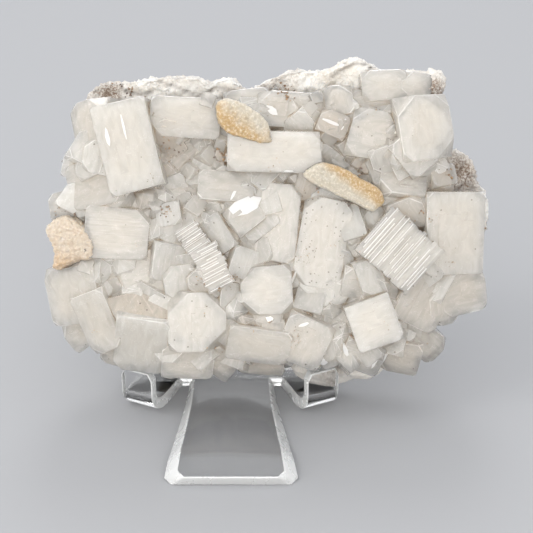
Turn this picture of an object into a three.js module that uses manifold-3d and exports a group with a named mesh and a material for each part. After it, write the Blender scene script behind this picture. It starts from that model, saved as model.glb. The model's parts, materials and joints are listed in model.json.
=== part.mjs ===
// A cluster of apophyllite blocks on its rock, with two blades and a sheaf of stilbite,
// leaning on a small bent easel of clear acrylic sheet.
// Millimetres, +Z up, the crystals face -Y, the table is Z = 0.

import * as THREE from 'three';
import { ConvexGeometry } from 'three/addons/geometries/ConvexGeometry.js';
import { mergeVertices } from 'three/addons/utils/BufferGeometryUtils.js';
import Module from 'manifold-3d';

const wasm = await Module();
wasm.setup();

// ---------------------------------------------------------------- driving dimensions

const GAP = 0.3; // clearance left between pieces that touch

// The specimen is drawn in a frame of its own: across, up its face, and out of its face.
const LEAN = 20; // degrees that the specimen and the easel's back lean away from upright
const SPECIMEN_PLACE = [0, 10, 51.5]; // where that frame's origin stands, from the prongs' front

// The easel, from the front face of its prongs (Y = 0) and its own middle (X = 0).
const SHEET = 3; // thickness of the acrylic sheet
const EASEL_MIDDLE = -10.6; // the easel stands a little left of the specimen's middle
const BEND = 2.5; // radius of the sheet's middle line in its sharp bends
const FOLD = 3.5; // the same in the fold at the top of the back
const PRONG_HEIGHT = 13.5;
const PRONG_INNER = 20; // half the distance between the prongs
const PRONG_OUTER = 29.3; // half the distance over the prongs
const SLOT_END = 14; // how far behind the prongs' front the slots end
const SLOT_HALF = 13; // half the distance between the slots' ends
const BASE_HALF = 26; // half the easel's width where its back rises
const BACK_HALF = 20; // half the width of the back at its fold
const BACK_LENGTH = 56; // length of the back, up its slope
const BACK_OUT = -23.3; // the front of the back, in the specimen's frame
const LEG_SPREAD = 24; // degrees that the rear leg slopes from upright
const LEG_HALF = 23; // half the width of the rear leg at the table
const TONGUE_REACH = 33; // how far the front foot reaches before the prongs
const TONGUE_HALF = 17.4; // half the width of the front foot at its end
const TONGUE_ASIDE = 1; // the end of the foot stands this far to the right of the easel's middle
const TONGUE_RISE = 2.2; // how far the foot lifts off the table before its end
const TONGUE_SLOPE = 8; // length of the slope that brings it down again

// The rock. Its outline goes clockwise from the upper left: across, up.
const ROCK_OUTLINE = [
  [-46, 37.5], [-41, 38.6], [-34, 38.9], [-28.5, 39.8], [-19.5, 39.9], [-15.5, 38.5],
  [-10, 39.7], [-5.8, 36.4], [-2, 38.2], [5, 41.2], [12.5, 41.6], [16.5, 42.2],
  [21.5, 45], [26.5, 43.8], [29, 42.2], [35, 41.3], [43.5, 41], [44, 35],
  [45.5, 30], [46, 22], [53, 19.5], [55.5, 15.5], [56.3, 11], [58.6, 9],
  [59.8, 2], [58, -3], [54, -9], [51, -17], [44, -24], [40, -32],
  [30, -37], [22, -41], [12, -40], [4, -38.5], [-9, -40.6], [-22, -40.2],
  [-33, -37], [-43, -33], [-51, -27], [-55, -20], [-55.5, -12], [-53, -4],
  [-56, 5], [-56.5, 8], [-53, 11], [-52, 17], [-50.5, 25], [-50, 31],
];
const ROCK_HALF_HEIGHT = 40;
const ROCK_STEPS = 64; // points around the rock
// How far each ring of the rock lies from its middle, as a share of the outline, and how far out.
const ROCK_RINGS = [
  [0.55, -8.5], [0.91, -5.5], [0.99, -4.5], [1, -9],
  [1, -14], [0.97, -18.5], [0.86, -22.6], [0.45, -23],
];
const ROCK_ROUGHNESS = 0.9; // height of its lumps
const ROCK_FALL = 2.2; // how far its front edge draws back from the top to the middle
const ROCK_FRONT = -12; // rings further out than this belong to that edge

// Lumps of the rock that stand out of its edge: across, up, out, and three half sizes.
const ROCK_LUMPS = [
  [-27, -40.6, -19.2, 4, 3.6, 3.4], // rests in the left hook
  [16.5, -38.6, -15.5, 11, 6.6, 5.8], // hangs into the right hook
  [25, -37, -13, 8, 6, 6], // shoulder beside it
  [43, 37.5, -5, 4, 4.5, 4], // broken tip, upper right
  [50, 10.5, -11, 7, 9, 5], // broken ledge, right
];

// The crystals. Each is a square prism with its corners cut by small slanting faces.
// across, up, out: middle of its front face;  wide, tall, deep: its size
// spin: turn of the front face, anticlockwise;  swing: to the right;  lean: upwards, in degrees
// corner: how far its corners are cut back
const CRYSTALS = [
  [-36.3, 21.6, 7.5, 14.5, 23.5, 15, 13, -4, 4, 1.6], // tall block, upper left
  [-46.5, 27.5, 3.5, 10, 12, 11, 14, -24, 6, 2.5], // its shoulder
  [-45.5, 12, 4, 14, 12.5, 13, 14, -14, 4, 2], // under the shoulder
  [-21.8, 29, 4, 18, 10.5, 13, -3, 4, 4, 2], // long block, top
  [-18, 19.3, -0.5, 9.5, 9, 10, -6, 6, 8, 2], // dull square under it
  [1.3, 20.2, 7, 24.5, 10.6, 13, -1, 2, -3, 1.2], // long bar, top middle
  [5.5, 31, 1.5, 17, 9.5, 12, -4, 6, 12, 2], // behind the bar
  [-5.5, 32.5, -1.5, 12, 8, 10, 6, 0, 10, 2],
  [16.8, 27.5, 3.5, 8, 6.5, 9, -24, 10, 14, 1.2], // small golden one
  [27.5, 24.6, 3.5, 13.5, 12.8, 12, -12, 4, 6, 3.6], // eight-sided face
  [40, 26.6, 7.5, 13.6, 16.5, 14, 6, 6, 4, 4.2], // large eight-sided face, upper right
  [38, 20.4, 6.8, 11, 11, 12, 40, 4, -6, 1.8], // its lower corner
  [30.2, 37.2, -0.5, 12, 8, 10, 3, 2, 10, 2], // thin row on the upper right edge
  [38.5, 37, -1, 8, 7.5, 10, -6, 8, 10, 1.8],
  [18, 33.5, 0.5, 7.5, 8, 9, 12, -6, 12, 1.8],
  [23.8, 33, -1.5, 7, 6, 9, -14, 6, 4, 1.5],
  [19.3, 20.8, -0.5, 8.5, 9.5, 10, 4, -8, 0, 1.8], // beside the bar
  [34.8, 13.5, 4, 12, 9, 12, -8, 4, 28, 1.8], // under the large face
  [35.3, 9.3, 3, 11.5, 9.5, 12, -6, 4, 0, 1.8],
  [43.8, 11.6, 0.5, 8, 4.5, 9, -20, 14, 10, 1.2], // clear tip
  [48.4, -1, 5, 15.6, 21.5, 14, 0, 10, 0, 1.4], // tall block, right
  [51.2, -16.8, 3, 12.5, 12, 12, 12, 12, -6, 3.4], // under it
  [26.5, -14.6, 6, 15, 8, 12, -8, 2, -12, 1.6],
  [27.2, -24, 9, 12.6, 12.6, 14, 20, 2, 2, 1.2], // tilted square, lower right
  [40.3, -19, 5, 13, 14, 13, -28, 14, -2, 2],
  [46, -21, 3.5, 8, 9, 11, 10, 18, -8, 2],
  [42, -31, 1, 10, 8.5, 12, -38, 16, -14, 1.6], // clear fan, lower right corner
  [34.6, -34.4, 2.5, 11, 9, 12, -12, 4, -16, 1.4],
  [24.6, -33.8, 5, 11, 8, 12, -22, 0, -14, 1.4],
  [9.2, -29.6, 6, 12.5, 13, 13, -24, -4, -6, 2.4], // specked face
  [16.8, -31, 4.5, 9.5, 10.5, 12, 24, 8, -8, 1.8],
  [-2.8, -30.4, 6, 16.5, 9.6, 13, -8, -2, -10, 1.6], // bar, bottom middle
  [-0.6, -15.6, 6.5, 13.6, 13, 13, 4, 0, 0, 3.6], // rounded eight-sided face, middle
  [2.4, 2, 5, 10.6, 20.5, 13, -7, -4, 2, 1.8], // tall face, middle
  [-6.4, 4, 6, 9, 8, 12, 36, 4, 16, 1.6], // the brightest facet
  [-11, 11.4, 4, 14.6, 7.8, 12, -4, 0, 14, 1.8],
  [-22.5, 9.2, 1.5, 8, 9.2, 10, 12, 6, 4, 1.8],
  [-39.4, -1, 5, 16.5, 13.5, 13, -4, 0, 4, 2], // layered block, left
  [-31, -11.6, 3, 15.5, 12, 12, 16, 4, 0, 1.8],
  [-8.4, -4.6, 2.5, 10.6, 12, 11, -28, 4, 0, 1.8],
  [13.8, -3.6, 5.5, 12.4, 23, 13, -10, 2, -2, 2.2], // tall face with dark specks
  [24, 0.6, 3, 10, 11, 11, -36, 4, 4, 1.6],
  [-41, -11.2, 2.5, 12, 9.5, 11, 6, -6, 2, 1.8],
  [-51.4, -17.8, 3, 14, 15, 12, 8, -12, -4, 2.2], // large pale face, lower left
  [-44.8, -24.4, 5, 9.4, 16.5, 13, 22, -10, -6, 1.4], // long block beside it
  [-53.8, 6.2, 0.5, 9, 7.4, 9, 12, -20, 8, 1.6], // small ones above the sheaf
  [-49.5, -27.4, 0.5, 11, 8.5, 10, 36, -12, -10, 1.6], // lower left edge
  [-39.6, -33.6, 1.5, 10.5, 7.5, 10, -16, -4, -18, 1.6],
  [-33.6, -30.6, 4.6, 14, 17, 14, -9, -2, -26, 1.4], // clear box seen from above
  [-18.8, -24, 7, 15.5, 16, 14, 0, 2, -4, 4.6], // large eight-sided face, lower left
  [-21.5, -35.4, 3.5, 13.5, 9.5, 12, -3, 0, -14, 1.8],
  [-12.6, -36, 2, 8.4, 7.4, 11, -38, 4, -14, 1.4],
  [11.6, -19.4, 1, 9, 7, 10, 8, 4, 0, 1.6],
  [2.6, 11, 2, 9.5, 7.5, 10, -22, 6, 8, 1.6],
  [-2, -37, -1, 12, 5, 9, -5, 0, -8, 1.2],
];

// Striated blocks: parallel ribs side by side. Their rows read as above, and end with the
// number of ribs. The ribs run up the front face, or across it where the last word says so.
const RIBBED_CRYSTALS = [
  [33.8, -5, 8.5, 17.4, 15.5, 13, -42, 4, 4, 6, 'up'], // large shining block, right
  [-20, -1.8, 6.6, 7, 7.2, 11, 34, -6, 6, 3, 'across'], // upper step of the column
  [-14.6, -9.6, 7.6, 8.2, 11.4, 12, 28, -4, 4, 4, 'across'], // lower step
];
const RIB_STEPS = [0, 0.55, 0.2, 0.7]; // how far back the ribs stand, by turns
const RIB_LAP = 1.2; // each rib is this much wider than its pitch

// A bed of half hidden crystals fills what is open between the large ones.
const BED_PITCH = 19;
const BED_SIZE = 17;
const BED_OUT = -3.2;
const BED_HALF_WIDTH = 46;
const BED_HALF_HEIGHT = 29;

// Stilbite: outlines across and up, how far out their middle lies, thickness, turn about upright.
const BLADE_UPPER = {
  outline: [[-13.4, 31.4], [-12.2, 33.4], [-9.4, 33.4], [-5, 31.4], [-1, 28.2], [1, 24],
    [0.4, 22.2], [-5.3, 23], [-10, 24.8], [-12.6, 27.4]],
  out: 6.6,
  thick: 3.4,
  swing: 4,
};
const BLADE_MIDDLE = {
  outline: [[9, 14.8], [13.2, 17.4], [17.1, 16.8], [20.5, 15.3], [23.7, 13.3], [26.8, 11.9],
    [29, 10], [30, 7.2], [28, 5.2], [26.2, 4.8], [22.8, 6.7], [19, 8.4], [14.5, 10.6], [10.5, 12.6]],
  out: 7.2,
  thick: 4,
  swing: 8,
};
const SHEAF_LEFT = {
  outline: [[-59.2, -0.5], [-57.6, 1.6], [-55, 3.2], [-51.2, 2.8], [-46, -1.8], [-45.4, -5.2],
    [-46, -7.4], [-50, -8.4], [-55, -10.8], [-57, -10.4], [-56.6, -5.8]],
  out: 4.6,
  thick: 9,
  swing: -12,
};

// ---------------------------------------------------------------- helpers

const rad = THREE.MathUtils.degToRad;

// A geometry with only merged positions and an index.
function bare(geometry) {
  const copy = geometry.clone();
  for (const name of Object.keys(copy.attributes)) {
    if (name !== 'position') copy.deleteAttribute(name);
  }
  return mergeVertices(copy, 1e-4);
}

// Turns a closed geometry into a solid that can be joined and cut.
function solid(geometry) {
  const merged = bare(geometry);
  const vertProperties = new Float32Array(merged.attributes.position.array);
  const triVerts = new Uint32Array(merged.index.array);
  return new wasm.Manifold(new wasm.Mesh({ numProp: 3, vertProperties, triVerts }));
}

// Turns a solid back into a geometry, and keeps the body with the most triangles.
function geometryOf(body) {
  const mesh = body.getMesh();
  const geometry = new THREE.BufferGeometry();
  geometry.setAttribute('position', new THREE.BufferAttribute(new Float32Array(mesh.vertProperties), 3));
  geometry.setIndex(new THREE.BufferAttribute(new Uint32Array(mesh.triVerts), 1));
  return largestBody(bare(geometry));
}

function largestBody(geometry) {
  const index = geometry.index.array;
  const parent = Array.from({ length: geometry.attributes.position.count }, (_, i) => i);
  const root = (i) => {
    while (parent[i] !== i) {
      parent[i] = parent[parent[i]];
      i = parent[i];
    }
    return i;
  };
  for (let t = 0; t < index.length; t += 3) {
    parent[root(index[t + 1])] = root(index[t]);
    parent[root(index[t + 2])] = root(index[t]);
  }
  const faces = new Map();
  for (let t = 0; t < index.length; t += 3) {
    const key = root(index[t]);
    if (!faces.has(key)) faces.set(key, []);
    faces.get(key).push(index[t], index[t + 1], index[t + 2]);
  }
  const most = [...faces.values()].sort((a, b) => b.length - a.length)[0];
  geometry.setIndex(most);
  return geometry;
}

// The same closed surface moved outwards by a distance.
function grown(geometry, distance) {
  const copy = bare(geometry);
  copy.computeVertexNormals();
  const { position, normal } = copy.attributes;
  for (let i = 0; i < position.count; i += 1) {
    position.setXYZ(
      i,
      position.getX(i) + distance * normal.getX(i),
      position.getY(i) + distance * normal.getY(i),
      position.getZ(i) + distance * normal.getZ(i),
    );
  }
  copy.deleteAttribute('normal');
  return copy;
}

// Places a geometry whose front is +Z in the specimen's frame (x across, y up, z out).
function placed(geometry, at, spin, swing, lean) {
  const turn = new THREE.Euler(-rad(lean), rad(swing), rad(spin), 'YXZ');
  const where = new THREE.Matrix4().makeRotationFromEuler(turn);
  where.setPosition(at[0], at[1], at[2]);
  return geometry.clone().applyMatrix4(where);
}

// ---------------------------------------------------------------- crystals

// A plain block with its front face at z = 0.
function plainBlock(wide, tall, deep) {
  return new THREE.BoxGeometry(wide, tall, deep).translate(0, 0, -deep / 2);
}

// The same with its four front corners cut off. Its back is buried in its neighbours.
function block(wide, tall, deep, corner) {
  const points = [];
  for (const x of [-1, 1]) {
    for (const y of [-1, 1]) {
      const far = new THREE.Vector3(x * wide / 2, y * tall / 2, 0);
      points.push(far.clone().add(new THREE.Vector3(-x * corner, 0, 0)));
      points.push(far.clone().add(new THREE.Vector3(0, -y * corner, 0)));
      points.push(far.clone().add(new THREE.Vector3(0, 0, -corner)));
      points.push(far.clone().add(new THREE.Vector3(0, 0, -deep)));
    }
  }
  return new ConvexGeometry(points);
}

function crystal([across, up, out, wide, tall, deep, spin, swing, lean, corner]) {
  return solid(placed(block(wide, tall, deep, corner), [across, up, out], spin, swing, lean));
}

// Parallel ribs, each a thin block, stepping in and out by turns.
function ribbedCrystal([across, up, out, wide, tall, deep, spin, swing, lean, ribs, run]) {
  const upright = run === 'up';
  const pitch = (upright ? wide : tall) / ribs;
  let body = null;
  for (let k = 0; k < ribs; k += 1) {
    const offset = (k - (ribs - 1) / 2) * pitch;
    const step = RIB_STEPS[k % RIB_STEPS.length];
    const rib = upright
      ? plainBlock(pitch * RIB_LAP, tall - step, deep).translate(offset, 0, -step)
      : plainBlock(wide - step, pitch * RIB_LAP, deep).translate(0, offset, -step);
    const piece = solid(placed(rib, [across, up, out], spin, swing, lean));
    body = body ? body.add(piece) : piece;
  }
  return body;
}

// A repeatable number from -1 to 1 for a place in the bed.
function scatter(column, row, salt) {
  const wave = Math.sin(column * 12.9898 + row * 78.233 + salt * 37.719) * 43758.5453;
  return 2 * (wave - Math.floor(wave)) - 1;
}

function bed() {
  const blocks = [];
  const columns = Math.ceil(BED_HALF_WIDTH / BED_PITCH);
  const rows = Math.ceil(BED_HALF_HEIGHT / BED_PITCH);
  for (let row = -rows; row <= rows; row += 1) {
    for (let column = -columns; column <= columns; column += 1) {
      const across = (column + 0.5 * (Math.abs(row) % 2)) * BED_PITCH + scatter(column, row, 1);
      const up = row * BED_PITCH + scatter(column, row, 2);
      const reach = Math.hypot(across / BED_HALF_WIDTH, up / BED_HALF_HEIGHT);
      if (reach > 1) continue;
      const out = BED_OUT + scatter(column, row, 3);
      const size = BED_SIZE * (1 + 0.15 * scatter(column, row, 4));
      const spin = 45 * scatter(column, row, 5);
      const swing = 14 * scatter(column, row, 6);
      const lean = 14 * scatter(column, row, 7);
      blocks.push(solid(placed(plainBlock(size * 1.15, size, size), [across, up, out], spin, swing, lean)));
    }
  }
  return blocks;
}

// ---------------------------------------------------------------- rock

function rough(across, up, out) {
  const wide = Math.sin(0.31 * across + 0.5 * out) * Math.cos(0.27 * up + 0.21 * across);
  const fine = Math.sin(0.83 * up + 0.6 * out + 1.7) * Math.cos(0.71 * across + 0.9);
  return 0.6 * wide + 0.4 * fine;
}

// Rings around the outline from the front to the back, closed by a point at each end.
function rockGeometry() {
  const corners = ROCK_OUTLINE.map(([x, y]) => new THREE.Vector3(x, y, 0));
  const curve = new THREE.CatmullRomCurve3(corners, true, 'centripetal');
  const edge = curve.getSpacedPoints(ROCK_STEPS).slice(0, ROCK_STEPS);
  const back = BACK_OUT + GAP;
  const points = [[0, 0, ROCK_RINGS[0][1]]];
  for (const [share, out] of ROCK_RINGS) {
    for (const { x, y } of edge) {
      const lump = ROCK_ROUGHNESS * rough(x * share, y * share, out);
      const long = 1 + 0.35 * lump / Math.hypot(x, y);
      const fall = out > ROCK_FRONT ? ROCK_FALL * (y / ROCK_HALF_HEIGHT - 1) : 0;
      points.push([x * share * long, y * share * long, Math.max(out + lump + fall, back)]);
    }
  }
  points.push([0, 0, back]);
  const faces = [];
  const last = points.length - 1;
  const ring = (r, i) => 1 + r * ROCK_STEPS + (i % ROCK_STEPS);
  for (let i = 0; i < ROCK_STEPS; i += 1) {
    faces.push(0, ring(0, i + 1), ring(0, i));
    for (let r = 0; r + 1 < ROCK_RINGS.length; r += 1) {
      faces.push(ring(r, i), ring(r, i + 1), ring(r + 1, i));
      faces.push(ring(r, i + 1), ring(r + 1, i + 1), ring(r + 1, i));
    }
    faces.push(last, ring(ROCK_RINGS.length - 1, i), ring(ROCK_RINGS.length - 1, i + 1));
  }
  const geometry = new THREE.BufferGeometry();
  geometry.setAttribute('position', new THREE.Float32BufferAttribute(points.flat(), 3));
  geometry.setIndex(faces);
  return geometry;
}

// A rounded, faceted lump of rock.
function lumpGeometry([across, up, out, halfWide, halfTall, halfDeep]) {
  const lump = bare(new THREE.IcosahedronGeometry(1, 1));
  const { position } = lump.attributes;
  for (let i = 0; i < position.count; i += 1) {
    const [x, y, z] = [position.getX(i), position.getY(i), position.getZ(i)];
    const long = 1 + 0.07 * rough(9 * x + across, 9 * y + up, 9 * z);
    position.setXYZ(i, across + halfWide * x * long, up + halfTall * y * long, out + halfDeep * z * long);
  }
  return lump;
}

// ---------------------------------------------------------------- stilbite

// A thick leaf with rounded edges.
function leafGeometry({ outline, out, thick, swing }) {
  const middle = outline.reduce((sum, [x, y]) => [sum[0] + x, sum[1] + y], [0, 0])
    .map((value) => value / outline.length);
  const shape = new THREE.Shape(outline.map(([x, y]) => new THREE.Vector2(x - middle[0], y - middle[1])));
  const round = Math.min(thick / 3, 1.4);
  const leaf = new THREE.ExtrudeGeometry(shape, {
    depth: thick - 2 * round,
    bevelThickness: round,
    bevelSize: round,
    bevelOffset: -round,
    bevelSegments: 2,
    steps: 1,
  });
  return placed(leaf.translate(0, 0, -thick + round), [middle[0], middle[1], out], 0, swing, 0);
}

// ---------------------------------------------------------------- easel

// The middle line of a bent sheet: straight runs with an arc of the given radius at each bend.
function bentLine(corners, radii) {
  const line = [corners[0]];
  for (let i = 1; i + 1 < corners.length; i += 1) {
    const before = corners[i - 1].clone().sub(corners[i]).normalize();
    const after = corners[i + 1].clone().sub(corners[i]).normalize();
    const half = before.angleTo(after) / 2;
    const start = corners[i].clone().addScaledVector(before, radii[i - 1] / Math.tan(half));
    const end = corners[i].clone().addScaledVector(after, radii[i - 1] / Math.tan(half));
    const centre = before.clone().add(after).normalize()
      .multiplyScalar(radii[i - 1] / Math.sin(half)).add(corners[i]);
    const from = start.clone().sub(centre);
    const sweep = (Math.PI - 2 * half) * Math.sign(from.cross(end.clone().sub(centre)));
    const steps = Math.max(2, Math.round(Math.abs(sweep) / rad(18)));
    for (let k = 0; k <= steps; k += 1) {
      line.push(from.clone().rotateAround(new THREE.Vector2(), sweep * k / steps).add(centre));
    }
  }
  line.push(corners[corners.length - 1]);
  return line;
}

// The sheet's section in Y and Z, its thickness to both sides of the middle line.
function sheetSection(line) {
  const left = [];
  const right = [];
  line.forEach((point, i) => {
    const before = line[Math.max(i - 1, 0)];
    const after = line[Math.min(i + 1, line.length - 1)];
    const along = after.clone().sub(before).normalize();
    const side = new THREE.Vector2(-along.y, along.x).multiplyScalar(SHEET / 2);
    left.push(point.clone().add(side));
    right.unshift(point.clone().sub(side));
  });
  return new THREE.Shape([...left, ...right]);
}

// A section in Y and Z, drawn out along X to both sides.
function drawnAcross(shape, halfWidth) {
  const geometry = new THREE.ExtrudeGeometry(shape, { depth: 2 * halfWidth, bevelEnabled: false });
  geometry.translate(0, 0, -halfWidth);
  const turn = new THREE.Matrix4().makeBasis(
    new THREE.Vector3(0, 1, 0),
    new THREE.Vector3(0, 0, 1),
    new THREE.Vector3(1, 0, 0),
  );
  return solid(geometry.applyMatrix4(turn));
}

// An outline in X and Y, drawn up from the table.
function drawnUp(points, height) {
  const shape = new THREE.Shape(points.map(([x, y]) => new THREE.Vector2(x, y)));
  return solid(new THREE.ExtrudeGeometry(shape, { depth: height, bevelEnabled: false }));
}

function easelGeometry() {
  const slope = new THREE.Vector2(Math.sin(rad(LEAN)), Math.cos(rad(LEAN)));
  const out = new THREE.Vector2(-slope.y, slope.x);
  const middle = SHEET / 2;
  const place = new THREE.Vector2(SPECIMEN_PLACE[1], SPECIMEN_PLACE[2]);
  const onBack = place.clone().addScaledVector(out, BACK_OUT - middle);
  const heel = onBack.clone().addScaledVector(slope, (middle - onBack.y) / slope.y);
  const top = heel.clone().addScaledVector(slope, BACK_LENGTH);
  const legFoot = new THREE.Vector2(top.y * Math.tan(rad(LEG_SPREAD)) + top.x, -middle);
  const prongTop = new THREE.Vector2(middle, PRONG_HEIGHT);
  const prongFoot = new THREE.Vector2(middle, middle);
  const hookLine = bentLine([prongTop, prongFoot, heel, top, legFoot], [BEND, BEND, FOLD]);
  const height = top.y + 3 * SHEET;
  const sheet = drawnAcross(sheetSection(hookLine), PRONG_OUTER);

  // Seen from above: the prongs, the splayed fingers behind them, the back and the leg.
  const plan = [
    [PRONG_INNER, -1], [PRONG_OUTER, -1], [PRONG_OUTER, SHEET + 1], [BASE_HALF, SLOT_END],
    [BASE_HALF, heel.x], [BACK_HALF, top.x], [LEG_HALF, legFoot.x + SHEET],
  ];
  const mirrored = plan.map(([x, y]) => [-x, y]).reverse();
  const slots = [[-SLOT_HALF, SLOT_END], [SLOT_HALF, SLOT_END]];
  const hooks = sheet.intersect(drawnUp([...plan, ...mirrored, ...slots], height));

  // The foot in front: it leaves the base between the slots, lifts, and comes down at its end.
  const drop = Math.atan2(TONGUE_RISE, TONGUE_SLOPE);
  const tongueLine = [
    new THREE.Vector2(heel.x - 2, middle),
    new THREE.Vector2(SLOT_END - 8, middle),
    new THREE.Vector2(-TONGUE_REACH + TONGUE_SLOPE, middle + TONGUE_RISE),
    new THREE.Vector2(-TONGUE_REACH, middle * Math.cos(drop)),
  ];
  const tongue = drawnAcross(sheetSection(bentLine(tongueLine, [30, 8])), PRONG_OUTER);
  const flare = [
    [TONGUE_ASIDE - TONGUE_HALF, -TONGUE_REACH - 1], [TONGUE_ASIDE + TONGUE_HALF, -TONGUE_REACH - 1],
    [SLOT_HALF, SLOT_END], [SLOT_HALF, heel.x - 2], [-SLOT_HALF, heel.x - 2], [-SLOT_HALF, SLOT_END],
  ];
  const foot = tongue.intersect(drawnUp(flare, height));
  return geometryOf(hooks.add(foot)).translate(EASEL_MIDDLE, 0, 0);
}

// ---------------------------------------------------------------- assembly

function material(colour, roughness, metalness = 0) {
  return new THREE.MeshStandardMaterial({ color: colour, roughness, metalness });
}

function named(name, geometry, finish) {
  const mesh = new THREE.Mesh(geometry, finish);
  mesh.name = name;
  return mesh;
}

const rockBody = [rockGeometry(), ...ROCK_LUMPS.map(lumpGeometry)]
  .map(solid)
  .reduce((whole, piece) => whole.add(piece));
const rock = geometryOf(rockBody);
const rockRoom = solid(grown(rock, GAP));
const leaves = [BLADE_UPPER, BLADE_MIDDLE, SHEAF_LEFT].map(leafGeometry)
  .map((leaf) => geometryOf(solid(leaf).subtract(rockRoom)));
const crystalBody = [...CRYSTALS.map(crystal), ...RIBBED_CRYSTALS.map(ribbedCrystal), ...bed()]
  .reduce((whole, piece) => whole.add(piece))
  .subtract(rockRoom);
const crystals = geometryOf(
  leaves.reduce((body, leaf) => body.subtract(solid(grown(leaf, GAP))), crystalBody),
);

const white = material(0xe2ded8, 0.25);
const honey = material(0xd9c29a, 0.45);
const specimen = new THREE.Group();
specimen.add(
  named('matrix', rock, material(0xcfc5ba, 0.9)),
  named('apophyllite', crystals, white),
  named('stilbite_blade_upper', leaves[0], honey),
  named('stilbite_blade_middle', leaves[1], honey),
  named('stilbite_sheaf_left', leaves[2], material(0xead9c6, 0.55)),
);
specimen.rotation.x = rad(90 - LEAN);
specimen.position.set(...SPECIMEN_PLACE);

const cluster = new THREE.Group();
cluster.add(specimen);
cluster.add(named('stand', easelGeometry(), material(0xe8eef0, 0.05)));

// The origin is the middle of the footprint, on the table.
cluster.updateMatrixWorld(true);
const box = new THREE.Box3().setFromObject(cluster, true);
const footprint = box.getCenter(new THREE.Vector3());
cluster.position.set(-footprint.x, -footprint.y, -box.min.z);

export default cluster;
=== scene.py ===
# %% [markdown]
# # An apophyllite cluster on a clear easel
#
# A plate of pale rock carries a crust of blocky apophyllite crystals, with two blades and a
# small sheaf of stilbite between them. It leans on an easel bent from clear acrylic sheet.
#
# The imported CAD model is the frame: it says how large each piece is and where it stands. Each
# step below makes one piece in its place, with the fine detail that the plain solids lack.

# %% Load the frame
import json
import math
import random

import bmesh
import bpy
from mathutils import Matrix, Vector, noise
from mathutils.bvhtree import BVHTree

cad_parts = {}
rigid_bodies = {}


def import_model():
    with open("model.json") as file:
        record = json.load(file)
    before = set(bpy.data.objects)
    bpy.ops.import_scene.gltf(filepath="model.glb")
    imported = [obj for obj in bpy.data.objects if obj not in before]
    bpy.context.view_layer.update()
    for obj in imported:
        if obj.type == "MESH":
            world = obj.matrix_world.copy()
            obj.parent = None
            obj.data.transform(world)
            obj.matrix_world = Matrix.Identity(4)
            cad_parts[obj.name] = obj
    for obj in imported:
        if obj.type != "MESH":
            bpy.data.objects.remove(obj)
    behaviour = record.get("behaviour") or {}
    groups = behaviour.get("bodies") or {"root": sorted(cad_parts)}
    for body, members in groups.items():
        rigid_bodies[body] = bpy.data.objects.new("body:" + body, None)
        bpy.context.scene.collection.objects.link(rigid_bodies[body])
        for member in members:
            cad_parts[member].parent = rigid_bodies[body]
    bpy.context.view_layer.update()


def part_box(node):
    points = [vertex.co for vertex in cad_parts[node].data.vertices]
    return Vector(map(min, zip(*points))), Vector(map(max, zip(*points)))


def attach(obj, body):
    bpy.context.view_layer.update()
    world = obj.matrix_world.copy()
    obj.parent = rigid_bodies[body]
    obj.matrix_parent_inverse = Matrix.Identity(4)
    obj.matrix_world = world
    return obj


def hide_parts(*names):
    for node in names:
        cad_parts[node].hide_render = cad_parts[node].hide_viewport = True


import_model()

MM = 0.001

# %% [markdown]
# The specimen leans back 20 degrees, so it gets a frame of its own: across, up its face, and
# out of its face, in millimetres. A drawing on a tilted sheet of paper is the same idea. One
# matrix carries every point of the specimen from that sheet to the table's frame. The easel's
# box gives the place, because the specimen stands a known step from the easel's front.

# %% The specimen's frame
stand_low, stand_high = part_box("stand")
FOOT_REACH = 33.4  # mm from the front of the prongs to the end of the front foot
EASEL_X = (stand_low.x + stand_high.x) / 2 / MM
EASEL_Y = stand_low.y / MM + FOOT_REACH
LEAN = math.radians(20)
ASIDE, BEHIND, ABOVE = 10.6, 10, 51.5  # mm from the front of the prongs to the specimen's face
SPECIMEN_PLACE = Vector((EASEL_X + ASIDE, EASEL_Y + BEHIND, ABOVE))


def specimen_matrix():
    """Columns: across, up the face, out of the face, and the place, all in millimetres."""
    across = Vector((1, 0, 0))
    up = Vector((0, math.sin(LEAN), math.cos(LEAN)))
    out = Vector((0, -math.cos(LEAN), math.sin(LEAN)))
    turn = Matrix((across, up, out)).transposed().to_4x4()
    return Matrix.Translation(SPECIMEN_PLACE) @ turn


SPECIMEN = Matrix.Scale(MM, 4) @ specimen_matrix()
EASEL = Matrix.Scale(MM, 4) @ Matrix.Translation((EASEL_X, EASEL_Y, 0))
print("specimen stands at", [round(v, 2) for v in SPECIMEN_PLACE], "mm")

# %% [markdown]
# ## Camera
# A camera about 34 cm from the crystals, 25 degrees above the horizon, with a long lens. The
# lens is worked out from how many pixels a millimetre takes at that distance.

# %% Camera
VIEW_ELEVATION = math.radians(25)
VIEW_DISTANCE = 340 * MM
PIXELS_PER_MM = 3.8
IMAGE_PIXELS = 533
AIM_ASIDE = -0.7  # mm
AIM = (SPECIMEN_PLACE + Vector((AIM_ASIDE, 0, 0))) * MM
AIM_ABOVE_MIDDLE = 38.5  # pixels that the aimed point stands above the picture's middle

away = Vector((0, -math.cos(VIEW_ELEVATION), math.sin(VIEW_ELEVATION)))
pixel_distance = PIXELS_PER_MM * VIEW_DISTANCE / MM
look_down = VIEW_ELEVATION + math.atan(AIM_ABOVE_MIDDLE / pixel_distance)

camera_data = bpy.data.cameras.new("camera")
camera_data.sensor_width = 36
camera_data.lens = pixel_distance / IMAGE_PIXELS * camera_data.sensor_width
camera_data.clip_start = 0.01
camera = bpy.data.objects.new("camera", camera_data)
camera.location = AIM + VIEW_DISTANCE * away
camera.rotation_euler = (math.pi / 2 - look_down, 0, 0)
bpy.context.scene.collection.objects.link(camera)
bpy.context.scene.camera = camera
print("lens", round(camera_data.lens, 1), "mm")

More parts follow.
